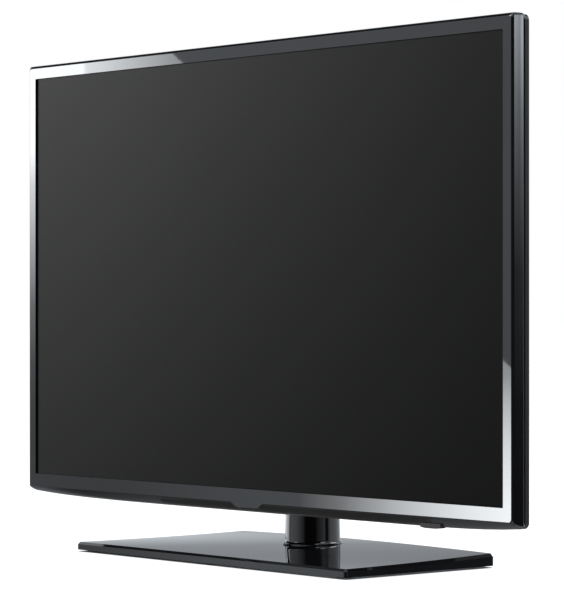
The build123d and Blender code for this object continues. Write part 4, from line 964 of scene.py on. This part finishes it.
def makeScrews(name, look):
    shank, reach, axis, sign = look["shank"], look["reach"], look["axis"], look["sign"]
    stem = lathe([(0, 0), (shank, 0), (shank, -reach * 0.85), (0, -reach)], 20)
    forms = [panHead(look["radius"], look["thick"]), stem]
    direction = [0, 0, 0]
    direction[axis] = sign
    built = bmesh.new()
    for low, high in solidBoxes(look["node"]):
        place = (low + high) / 2
        place[axis] = (high if sign > 0 else low)[axis] - sign * look["seat"] * mm
        # Each recess stands at another angle
        matrix = Matrix.Translation(place) @ turned(direction) @ Matrix.Rotation(place[0] * 37, 4, "Z")
        for form in forms:
            gather(built, form, matrix)
    for form in forms:
        form.free()
    keepPiece(name, look["body"], "screw_steel", toMesh(name, built), 40, look["node"])


for name, look in screwSets.items():
    makeScrews(name, look)
print("screws built")


# Wall-mount inserts: threaded steel sleeves

insertLook = {"bore": 3.4, "outer": 7.0, "pitch": 1.0, "thread": 0.35, "edge": 0.6, "lead": 0.7, "floor": 2.5}


def makeInserts(look):
    built = bmesh.new()
    bore, outer, edge, lead, floor = [look[key] for key in ("bore", "outer", "edge", "lead", "floor")]
    for low, high in solidBoxes("wall_mount_bosses"):
        length = (high.y - low.y) / mm
        outline = [(0, 0), (outer, 0), (outer, length - edge), (outer - edge, length), (bore + lead, length)]
        depth = length - lead
        while depth > 4:
            outline += [(bore, depth), (bore + look["thread"], depth - look["pitch"] / 2)]
            depth -= look["pitch"]
        outline += [(bore, depth), (bore, floor), (0, floor)]
        sleeve = lathe(outline, 48)
        place = ((low.x + high.x) / 2, low.y, (low.z + high.z) / 2)
        gather(built, sleeve, Matrix.Translation(place) @ turned((0, 1, 0)))
        sleeve.free()
    keepPiece("mountInserts", "screen", "socket_metal", toMesh("mountInserts", built), 30, "wall_mount_bosses")


makeInserts(insertLook)
print("mount inserts built")


# Sockets in the bay at the back, and the mains inlet

mouthX = -331.0
socketLook = {"wall": 0.8, "lip": 0.3, "deep": 14.0, "back": 1.0, "tongueRear": -318.0, "contactRear": -320.0}
usbLook = {"z": 362.0, "half": 6.3, "low": -18.1, "high": -12.9, "tongue": 5.4, "contacts": (-3.5, -1.0, 1.0, 3.5)}
hdmiLook = {
    "places": (312.0, 338.0), "half": 7.1, "narrow": 5.4, "low": -18.1, "waist": -15.2, "high": -13.3,
    "tongue": (-16.5, -15.1), "contacts": ((-15.2, -15.0), (-16.6, -16.4)),
}
networkLook = {
    "z": 286.0, "half": 6.0, "low": -18.1, "latchLow": -11.4, "latchMid": -10.2, "high": -9.1, "pitch": 1.02,
    "wires": (-329.0, -319.0), "slope": 0.22,
}
jackLook = {
    "y": -12.4, "places": (222.0, 240.0, 258.0), "outer": 4.1, "inner": 3.3, "bore": 1.8, "tall": 9.0, "block": 6.4,
}
antennaLook = {"y": -12.4, "z": 205.0, "outer": 4.7, "root": 4.3, "pitch": 0.8, "tall": 11.0, "bore": 0.8}
inletLook = {
    "y": -12.6, "z": 320.0, "x": 339.0, "rear": 319.0, "high": 6.3, "wide": 9.8, "slotHigh": 4.3, "slotWide": 7.8,
    "pins": 4.3,
}
jackColours = {"Yellow": (0.62, 0.42, 0.02), "White": (0.66, 0.66, 0.63), "Red": (0.50, 0.018, 0.015)}
jackPlace, jackRoot = -330.0, -3.8


def rounded(points, radius, steps=4):
    # Outline with each corner turned into a small curve
    made = []
    for index, point in enumerate(points):
        here = Vector(point)
        ways = [Vector(other) - here for other in (points[index - 1], points[(index + 1) % len(points)])]
        start, end = [here + way.normalized() * min(radius, way.length * 0.45) for way in ways]
        for step in range(steps + 1):
            share = step / steps
            made.append((1 - share) ** 2 * start + 2 * share * (1 - share) * here + share ** 2 * end)
    return made


def openShell(outer, inner, rounds=(0.7, 0.4), x=mouthX, deep=socketLook["deep"], back=socketLook["back"]):
    # Shell along X with a rolled lip; outer and inner are corners as (y, z)
    sign = 1 if deep > 0 else -1
    lip, rear = x + socketLook["lip"] * sign, x + deep
    wide, narrow = [rounded(points, radius) for points, radius in zip((outer, inner), rounds)]
    rings = []
    for place, share in ((rear, 0), (lip, 0), (x, 0.35), (x, 0.8), (lip, 1), (rear - sign * back, 1)):
        rings.append([(place, *(first + share * (second - first))) for first, second in zip(wide, narrow)])
    return skinRings(rings)


def putParts(name, slot, parts, node=None, finish=None):
    # One piece from several forms, on the screen's body
    built = bmesh.new()
    for part in parts:
        gather(built, part)
        part.free()
    keepPiece(name, "screen", slot, toMesh(name, built), 30, node, finish)


def rectangle(low, high, left, right, grow=0.0):
    low, high, left, right = low - grow, high + grow, left - grow, right + grow
    return [(low, left), (low, right), (high, right), (high, left)]


def barRow(places, half, near, far, under, over, edge):
    # Bars along X, side by side
    return [roundedBar((near, under, z - half), (far, over, z + half), edge) for z in places]


def makeUsb(look):
    z, low = look["z"], look["low"]
    sides = (low, look["high"], z - look["half"], z + look["half"])
    shell = openShell(rectangle(*sides, socketLook["wall"]), rectangle(*sides))
    putParts("usbShell", "socket_metal", [shell], "usb_socket")
    tongue = barRow([z], look["tongue"], mouthX + 1.2, socketLook["tongueRear"], low + 0.5, low + 2.3, 0.25)
    putParts("usbTongue", "jack_plastic", tongue, finish=insulators["White"])
    places = [z + place for place in look["contacts"]]
    contacts = barRow(places, 0.5, mouthX + 2.2, socketLook["contactRear"], low + 2.25, low + 2.5, 0.08)
    putParts("usbContacts", "socket_metal", contacts, finish=goldContacts)


def makeHdmi(look):
    low, waist, high = look["low"], look["waist"], look["high"]
    shells, tongues, contacts = [], [], []
    for z in look["places"]:
        def outline(grow):
            left, right = z - look["half"] - grow, z + look["half"] + grow
            return [
                (low - grow, left), (low - grow, right), (waist, right), (high + grow, z + look["narrow"] + grow),
                (high + grow, z - look["narrow"] - grow), (waist, left),
            ]

        shells.append(openShell(outline(socketLook["wall"]), outline(0)))
        tongues += barRow([z], 5.5, mouthX + 0.8, socketLook["tongueRear"], *look["tongue"], 0.25)
        places = [z + index - 4.5 for index in range(10)]
        for under, over in look["contacts"]:
            contacts += barRow(places, 0.22, mouthX + 1.4, socketLook["contactRear"], under, over, 0.05)
    putParts("hdmiShells", "socket_metal", shells, "hdmi_sockets")
    putParts("hdmiTongues", "jack_plastic", tongues)
    putParts("hdmiContacts", "socket_metal", contacts, finish=goldContacts)


def makeNetwork(look):
    wall, z, half = socketLook["wall"], look["z"], look["half"]
    low, mid, step, high = look["low"], look["latchLow"], look["latchMid"], look["high"]
    notch = [(mid, 3.0), (step, 3.0), (step, 1.6), (high, 1.6), (high, -1.6), (step, -1.6), (step, -3.0), (mid, -3.0)]
    inner = [(low, z - half), (low, z + half), (mid, z + half)]
    inner += [(y, z + across) for y, across in notch] + [(mid, z - half)]
    top = high + wall
    outer = [(low - wall, z - half - wall), (low - wall, z + half + wall), (top, z + half + wall)]
    outer += [(top, z + across) for across in (3.0, 2.4, 1.6, 1.0, -1.0, -1.6, -2.4, -3.0)] + [(top, z - half - wall)]
    putParts("networkShell", "jack_plastic", [openShell(outer, inner, (0.5, 0.2))], "network_socket")
    near, far = look["wires"]
    contacts = barRow([z + (index - 3.5) * look["pitch"] for index in range(8)], 0.18, near, far, -17.9, -17.6, 0.06)
    for wire in contacts:
        for vertex in wire.verts:
            vertex.co.y += (vertex.co.x / mm - near) * look["slope"] * mm
    putParts("networkContacts", "socket_metal", contacts, finish=goldContacts)


def turnedPart(profile, place, direction=(-1, 0, 0), turns=48):
    form = lathe(profile, turns)
    bmesh.ops.remove_doubles(form, verts=form.verts, dist=0.001 * mm)
    matrix = Matrix.Translation([value * mm for value in place]) @ turned(direction)
    bmesh.ops.transform(form, matrix=matrix, verts=form.verts)
    return form


def makeJacks(look):
    outer, inner, bore, tall = look["outer"], look["inner"], look["bore"], look["tall"]
    sleeve = [
        (inner, jackRoot), (outer, jackRoot), (outer, tall - 0.3), (outer - 0.3, tall), (inner + 0.2, tall),
        (inner, tall - 0.2), (inner, jackRoot),
    ]
    insulator = [
        (0, jackRoot), (inner, jackRoot), (inner, tall - 0.9), (inner - 0.2, tall - 0.7), (bore + 0.3, tall - 0.7),
        (bore, tall - 1.0), (bore, 0), (0, 0),
    ]
    places = [(jackPlace, look["y"], z) for z in look["places"]]
    putParts("jackSleeves", "socket_metal", [turnedPart(sleeve, place) for place in places], "av_jacks")
    for colour, place in zip(("Red", "White", "Yellow"), places):
        form = turnedPart(insulator, place)
        putParts("jackInsulator" + colour, "jack_plastic", [form], finish=insulators[colour])
    side, y = look["block"], look["y"]
    putParts("jackBlocks", "jack_plastic", barRow(look["places"], side, -326, -313, y - side, y + side, 0.4))


def makeAntenna(look):
    outer, root, pitch, tall, bore = [look[key] for key in ("outer", "root", "pitch", "tall", "bore")]
    barrel = [(0, jackRoot), (outer, jackRoot), (outer, 0.8)]
    height = 1.2
    while height < tall - 1.2:
        barrel += [(root, height), (outer, height + pitch / 2)]
        height += pitch
    barrel += [
        (root, tall - 0.6), (root - 0.3, tall), (3.6, tall), (3.3, tall - 0.4), (3.3, tall - 1.4), (1.6, tall - 1.4),
        (bore + 0.2, tall - 1.3), (bore, tall - 1.6), (bore, 1.0), (0, 1.0),
    ]
    form = turnedPart(barrel, (jackPlace, look["y"], look["z"]))
    putParts("antennaBarrel", "socket_metal", [form], "antenna_jack")


def makeInlet(look):
    y, z, x = look["y"], look["z"], look["x"]
    outer, inner = [
        rectangle(y - high, y + high, z - wide, z + wide)
        for high, wide in ((look["high"], look["wide"]), (look["slotHigh"], look["slotWide"]))
    ]
    shell = openShell(outer, inner, (1.2, 3.4), x, look["rear"] - x, 7.0)
    putParts("inletBody", "jack_plastic", [shell], "power_inlet")
    pin = [(0, 0), (1.2, 0), (1.2, 9.6), (0.95, 10.2), (0.5, 10.5), (0, 10.5)]
    pins = [turnedPart(pin, (326, y, z + place), (1, 0, 0), 32) for place in (-look["pins"], look["pins"])]
    putParts("inletPins", "socket_metal", pins)


goldContacts = metalFinish("goldContacts", {
    "colour": (0.78, 0.52, 0.18), "colourTwo": (0.86, 0.60, 0.24), "blotchColour": (0.60, 0.38, 0.12), "blotches": 0.3,
    "metal": 1.0, "rough": 0.24, "lineScale": 1500.0, "blotchScale": 600.0, "relief": 0.1, "depth": 0.00002,
})
insulators = {
    name: grainedFinish("insulator" + name, {
        **rearPlasticLook, "colour": colour, "colourTwo": tuple(value * 0.9 for value in colour),
        "pitColour": tuple(value * 0.75 for value in colour), "rough": 0.36, "grainScale": 1400.0, "relief": 0.2,
        "depth": 0.00005, "shine": 0.5, "dust": 0.05,
    })
    for name, colour in jackColours.items()
}
makeUsb(usbLook)
makeHdmi(hdmiLook)
makeNetwork(networkLook)
makeJacks(jackLook)
makeAntenna(antennaLook)
makeInlet(inletLook)

# Parts whose packed form is right: the same form with its edges rounded
softParts = {
    "menuKnob": ("jog_knob", "jog_stick", 0.6, 3), "menuDish": ("jog_ring", "jog_ring", 0.3, 2),
    "basePlate": ("base_plate", "stand", 0.6, 2), "standBracket": ("stand_bracket", "screen", 0.4, 2),
}
for name, (node, body, width, segments) in softParts.items():
    softCopy(name, node, body, width, segments, 30)
print("sockets, inlet and small parts built")


# Studio: pale floor with a painted contact shadow, white surround, soft lamps

def joinShaders(tree, kind, *sources):
    made = tree.nodes.new(kind)
    for socket, source in zip(made.inputs, sources):
        tree.links.new(source, socket)
    return made


def makeWorld(ambient, coolWhite):
    world = bpy.data.worlds.new("studioWorld")
    bpy.context.scene.world = world
    world.use_nodes = True
    tree = world.node_tree
    tree.nodes.clear()
    path = addNode(tree, "ShaderNodeLightPath").outputs
    seen = sumUp(tree, "MAXIMUM", path["Is Camera Ray"], path["Is Glossy Ray"])
    seen = sumUp(tree, "MAXIMUM", seen, path["Is Transmission Ray"])
    soft = addNode(tree, "ShaderNodeBackground", Color=(1, 1, 1), Strength=ambient)
    tinted = mixColours(tree, path["Is Glossy Ray"], (1, 1, 1), coolWhite)
    white = addNode(tree, "ShaderNodeBackground", Color=tinted, Strength=1.0)
    mixed = joinShaders(tree, "ShaderNodeMixShader", seen, soft.outputs[0], white.outputs[0])
    joinShaders(tree, "ShaderNodeOutputWorld", mixed.outputs[0])


def bareMaterial(name):
    material = bpy.data.materials.new(name)
    material.use_nodes = True
    material.node_tree.nodes.clear()
    return material, material.node_tree


def stageSheet(name, corners, material, faces=None):
    mesh = bpy.data.meshes.new(name)
    mesh.from_pydata(corners, [], faces or [list(range(len(corners)))])
    mesh.materials.append(material)
    piece = addObject(name, mesh)
    return piece


def sheetCorners(*spans):
    # Corners of a rectangle: two spans as (low, high), and its place along the third axis
    wide, tall = [axis for axis in range(3) if isinstance(spans[axis], tuple)]
    corners = []
    for first, second in ((0, 0), (1, 0), (1, 1), (0, 1)):
        corner = list(spans)
        corner[wide], corner[tall] = spans[wide][first], spans[tall][second]
        corners.append(corner)
    return corners


def makeFloor(look):
    material, tree = bareMaterial("paleFloor")
    path = addNode(tree, "ShaderNodeLightPath").outputs
    plain = addNode(tree, "ShaderNodeBsdfDiffuse", Color=(look["pale"],) * 3)
    shaded = addNode(tree, "ShaderNodeBsdfDiffuse", Color=(look["shadow"],) * 3)
    # Painted contact shadow: the glow that the camera sees fades out where ambient occlusion finds the set close by, so
    # the floor darkens under and around the base
    near = addNode(tree, "ShaderNodeAmbientOcclusion", Distance=look["near"], samples=look["samples"])
    light = spread(tree, near.outputs["AO"], *look["open"], 0.0, look["glow"])
    glow = addNode(tree, "ShaderNodeEmission", Strength=light)
    both = joinShaders(tree, "ShaderNodeAddShader", shaded.outputs[0], glow.outputs[0])
    mixed = joinShaders(tree, "ShaderNodeMixShader", path["Is Camera Ray"], plain.outputs[0], both.outputs[0])
    joinShaders(tree, "ShaderNodeOutputMaterial", mixed.outputs[0])
    far = (-look["reach"], look["reach"])
    floor = stageSheet("paleFloor", sheetCorners(far, far, 0), material)
    floor.visible_glossy = False        # polished faces see the white surround instead


def makeLamp(name, look):
    data = bpy.data.lights.new(name, "AREA")
    data.shape = "RECTANGLE"
    data.size, data.size_y = look["size"]
    data.energy = look["power"]
    lamp = addObject(name, data)
    lamp.location = look["place"]
    aim = Vector(look["aim"]) - Vector(look["place"])
    lamp.rotation_mode = "QUATERNION"
    lamp.rotation_quaternion = aim.to_track_quat("-Z", "Y")


studio = {"ambient": 0.4, "coolWhite": (0.93, 0.99, 1.05)}
# The floor's glow dims by ambient occlusion within 'near' metres, faded over the 'open' range: a painted contact shadow
# under the base
floorLook = {
    "pale": 0.7, "shadow": 0.4, "glow": 0.87, "open": (0.25, 0.8), "reach": 60.0, "near": 0.016, "samples": 8,
}
lamps = {
    "keyLamp": {"size": (1.8, 1.4), "power": 85.0, "place": (-2.0, -3.2, 2.8), "aim": (0, 0, 0.35)},
    "sideLamp": {"size": (1.2, 1.6), "power": 30.0, "place": (3.4, 0.6, 2.4), "aim": (0, 0, 0.35)},
    "backLamp": {"size": (2.0, 1.4), "power": 70.0, "place": (1.2, 3.4, 2.6), "aim": (0, 0, 0.35)},
    "topLamp": {"size": (1.6, 1.6), "power": 35.0, "place": (-0.4, 0.4, 3.4), "aim": (0, 0, 0.3)},
}
makeWorld(studio["ambient"], studio["coolWhite"])
makeFloor(floorLook)
for name, look in lamps.items():
    makeLamp(name, look)


# Light boards and dark flags that only the polished faces see

coolTint = (0.93, 0.99, 1.07)
faceTint = (0.975, 1.0, 1.025)


def makeBoard(name, corners, makeLight, tint=(1, 1, 1), lit=None, faces=None):
    # Adds its light to what it lets through; makeLight gives both, each as a socket or a number
    material, tree = bareMaterial(name)
    place = splitUp(tree, addNode(tree, "ShaderNodeNewGeometry").outputs["Position"])
    light, clear = makeLight(tree, place["X"], place["Y"], place["Z"])
    clear = (clear,) * 3 if isinstance(clear, float) else clear
    through = addNode(tree, "ShaderNodeBsdfTransparent", Color=clear)
    glow = addNode(tree, "ShaderNodeEmission", Color=tint, Strength=light)
    both = joinShaders(tree, "ShaderNodeAddShader", through.outputs[0], glow.outputs[0])
    joinShaders(tree, "ShaderNodeOutputMaterial", both.outputs[0])
    board = stageSheet(name, corners, material, faces)
    for kind in ("camera", "diffuse", "transmission", "volume_scatter", "shadow"):
        setattr(board, "visible_" + kind, False)
    if lit:
        board.light_linking.receiver_collection = bpy.data.collections.new(name + "Lit")
        board.light_linking.receiver_collection.objects.link(lit)


faceBoard = {
    "y": -2.5, "left": -4.25, "top": 1.02, "right": -2.206, "bottom": -0.156,
    # Its upper right edge is cut slantwise, and shows as the slanting ends of the bright parts
    "corners": ((-4.9, -0.5), (-1.036, -0.5), (-4.339, 1.508), (-4.9, 1.508)),
    # How bright its two lights are, and the fade of each from its corner of the face
    "upper": 12.5, "lower": 15.5,
    "upperAcross": [(0.0, 1.0), (0.258, 1.0), (0.272, 0.72), (0.34, 0.66), (0.56, 0.42), (0.75, 0.22), (1.0, 0.05)],
    "upperDown": [(0.0, 1.0), (0.22, 1.0), (0.32, 0.60), (0.494, 0.29), (0.666, 0.06), (0.84, 0.0)],
    "lowerAcross": [(0.0, 1.0), (0.096, 0.90), (0.243, 0.69), (0.356, 0.52), (0.471, 0.33), (0.63, 0.11), (0.80, 0.0)],
    "lowerUp": [(0.0, 1.0), (0.02, 1.0), (0.163, 0.75), (0.269, 0.48), (0.34, 0.26), (0.60, 0.0)],
    # Where it lets less of the surround through: up to the first of each pair, and not beyond the second
    "shadeAcross": (0.3, 1.3), "shadeUp": (0.1, 0.55), "shade": 0.57,
}


def faceBoardLight(tree, x, y, z):
    look = faceBoard
    fades = []
    for first, second, stops in (
        (x, look["left"], "upperAcross"), (look["top"], z, "upperDown"),
        (look["right"], x, "lowerAcross"), (z, look["bottom"], "lowerUp"),
    ):
        fades.append(rampOf(tree, sumUp(tree, "SUBTRACT", first, second, True), look[stops]))
    upper = product(tree, fades[0], fades[1], look["upper"])
    lower = product(tree, fades[2], fades[3], look["lower"])
    across = spread(tree, x, *(look["left"] + value for value in look["shadeAcross"]))
    up = spread(tree, z, *(look["bottom"] + value for value in look["shadeUp"]))
    clear = spread(tree, sumUp(tree, "MAXIMUM", across, up), 0.0, 1.0, look["shade"], 1.0, False)
    return sumUp(tree, "ADD", upper, lower), clear


corners = [(x, faceBoard["y"], z) for x, z in faceBoard["corners"]]
makeBoard("faceBoard", corners, faceBoardLight, faceTint, frontFrame)

screenBoard = {
    "spans": ((-5.2, -1.4), -2.46, (-1.0, 2.0)), "light": 12.6, "left": -4.25, "top": 1.02,
    "across": 1.15 / 2.04, "down": 0.95 / 1.18, "floor": 0.12,
}


def screenBoardLight(tree, x, y, z):
    look = screenBoard
    along = product(tree, sumUp(tree, "SUBTRACT", x, look["left"]), -look["across"])
    down = product(tree, sumUp(tree, "SUBTRACT", look["top"], z), -look["down"])
    fade = sumUp(tree, "EXPONENT", sumUp(tree, "ADD", along, down))
    shown = sumUp(tree, "MAXIMUM", sumUp(tree, "SUBTRACT", fade, look["floor"]))
    return product(tree, shown, look["light"]), 1.0


makeBoard("screenBoard", sheetCorners(*screenBoard["spans"]), screenBoardLight, lit=picturePanel)

sideBoard = {
    "spans": (2.5, (0.75, 2.35), (-0.4, 1.3)), "base": -0.2, "tall": 1.4, "peak": 8.5,
    # Brightness and clearness from its foot to its top
    "light": [
        (0.0, 0.0), (0.44, 0.0), (0.54, 0.07), (0.617, 0.19), (0.69, 0.37), (0.80, 0.90), (0.86, 1.0), (1.0, 1.0),
    ],
    "clear": [(0.0, 0.01), (0.10, 0.02), (0.25, 0.08), (0.40, 0.32), (0.54, 0.5), (1.0, 0.5)],
    # Brightness from its front end to its rear end
    "across": [(0.0, 1.0), (0.12, 1.0), (0.30, 0.80), (0.46, 0.56), (0.58, 0.60), (0.74, 0.80), (1.0, 0.86)],
}


def sideBoardLight(tree, x, y, z):
    look = sideBoard
    front, rear = look["spans"][1]
    height = sumUp(tree, "DIVIDE", sumUp(tree, "SUBTRACT", z, look["base"]), look["tall"], True)
    along = sumUp(tree, "DIVIDE", sumUp(tree, "SUBTRACT", y, front), rear - front, True)
    light = product(tree, rampOf(tree, height, look["light"]), look["peak"], rampOf(tree, along, look["across"]))
    return light, rampOf(tree, height, look["clear"])


makeBoard("sideBoard", sheetCorners(*sideBoard["spans"]), sideBoardLight, coolTint, frontFrame)

roundFlag = {
    "radius": 3.0, "low": -1.6, "high": 2.2, "middle": (0.0, 0.0475), "steps": 72,
    # What share of the surround shows, by direction in degrees from +X
    "around": [
        (-110, 1.0), (-92, 0.62), (-74, 0.20), (-69, 0.01), (-24, 0.01), (-22, 0.12), (0, 0.34), (26, 0.85),
        (40, 1.0), (178, 1.0),
    ],
    # Low down behind the set, beyond these degrees, by height
    "behindFrom": (100.0, 112.0),
    "behind": [
        (-0.2, 1.0), (0.05, 0.92), (0.12, 0.82), (0.22, 0.66), (0.34, 0.46), (0.50, 0.41), (0.80, 0.44), (1.2, 1.0),
    ],
}


def roundFlagLight(tree, x, y, z):
    look = roundFlag
    across, along = look["middle"]
    angle = sumUp(tree, "ARCTAN2", sumUp(tree, "SUBTRACT", y, along), sumUp(tree, "SUBTRACT", x, across))
    around = rampOver(tree, angle, [(math.radians(place), value) for place, value in look["around"]])
    there = spread(tree, angle, *(math.radians(value) for value in look["behindFrom"]))
    behind = product(tree, rampOver(tree, z, look["behind"]), there)
    return 0.0, product(tree, around, sumUp(tree, "ADD", behind, sumUp(tree, "SUBTRACT", 1.0, there)))


def makeRoundFlag(look):
    corners, faces = [], []
    start, end = look["around"][0][0], look["around"][-1][0]
    for step in range(look["steps"] + 1):
        angle = math.radians(start + (end - start) * step / look["steps"])
        x = look["middle"][0] + look["radius"] * math.cos(angle)
        y = look["middle"][1] + look["radius"] * math.sin(angle)
        corners += [(x, y, look["low"]), (x, y, look["high"])]
        if step:
            faces.append((2 * step - 2, 2 * step, 2 * step + 1, 2 * step - 1))
    makeBoard("roundFlag", corners, roundFlagLight, faces=faces)


makeRoundFlag(roundFlag)

# Plain boards: their spans, how much of the surround each lets through, and the light each adds
flatFlags = {
    "overFlag": {"spans": ((-3.9, -1.3), (-0.6, 1.1), 2.5), "clear": 0.02},
    "rearOverFlag": {"spans": ((-1.4, 0.7), (1.6, 3.2), 2.5), "clear": 0.02},
    "baseSideFlag": {"spans": (0.45, (-0.05, 0.42), (-0.09, 0.004)), "clear": 0.08},
}
neckBoards = {
    "neckBoardLeft": {"spans": (-1.6, (-0.75, 0.35), (-0.4, 0.6)), "light": 1.5},
    "neckBoardRight": {"spans": (1.4, (0.89, 1.40), (-0.4, 0.6)), "light": 0.65},
}


def makePlainBoard(name, look, *rest):
    light = (look.get("light", 0.0), look.get("clear", 1.0))
    makeBoard(name, sheetCorners(*look["spans"]), lambda tree, x, y, z: light, *rest)


for name, look in flatFlags.items():
    makePlainBoard(name, look)

# Faint light under the frame, where its lower slope sees only the black base
underBoard = {
    "z": 0.045,
    "across": [(-0.45, 0.0), (-0.26, 1.0), (0.25, 1.0), (0.42, 1.7), (0.62, 2.2)],
    "along": [(-0.075, 0.15), (-0.046, 0.10), (-0.026, 0.075), (0.01, 0.06), (0.14, 0.06)],
}


def makeUnderBoard(look):
    def light(tree, x, y, z):
        return product(tree, rampOver(tree, x, look["across"]), rampOver(tree, y, look["along"])), 1.0

    spans = [(look[way][0][0], look[way][-1][0]) for way in ("across", "along")]
    makeBoard("underBoard", sheetCorners(*spans, look["z"]), light, lit=frontFrame)


makeUnderBoard(underBoard)
for name, look in neckBoards.items():
    makePlainBoard(name, look, coolTint, turnedNeck)

lowFlag = {"spans": ((-2.4, 0.3), (-1.3, 1.4), -0.3), "clear": 0.12, "clearLeft": 0.32, "from": -1.15, "to": -0.95}


def lowFlagLight(tree, x, y, z):
    return 0.0, spread(tree, x, lowFlag["from"], lowFlag["to"], lowFlag["clearLeft"], lowFlag["clear"])


makeBoard("lowFlag", sheetCorners(*lowFlag["spans"]), lowFlagLight)
print("studio set")
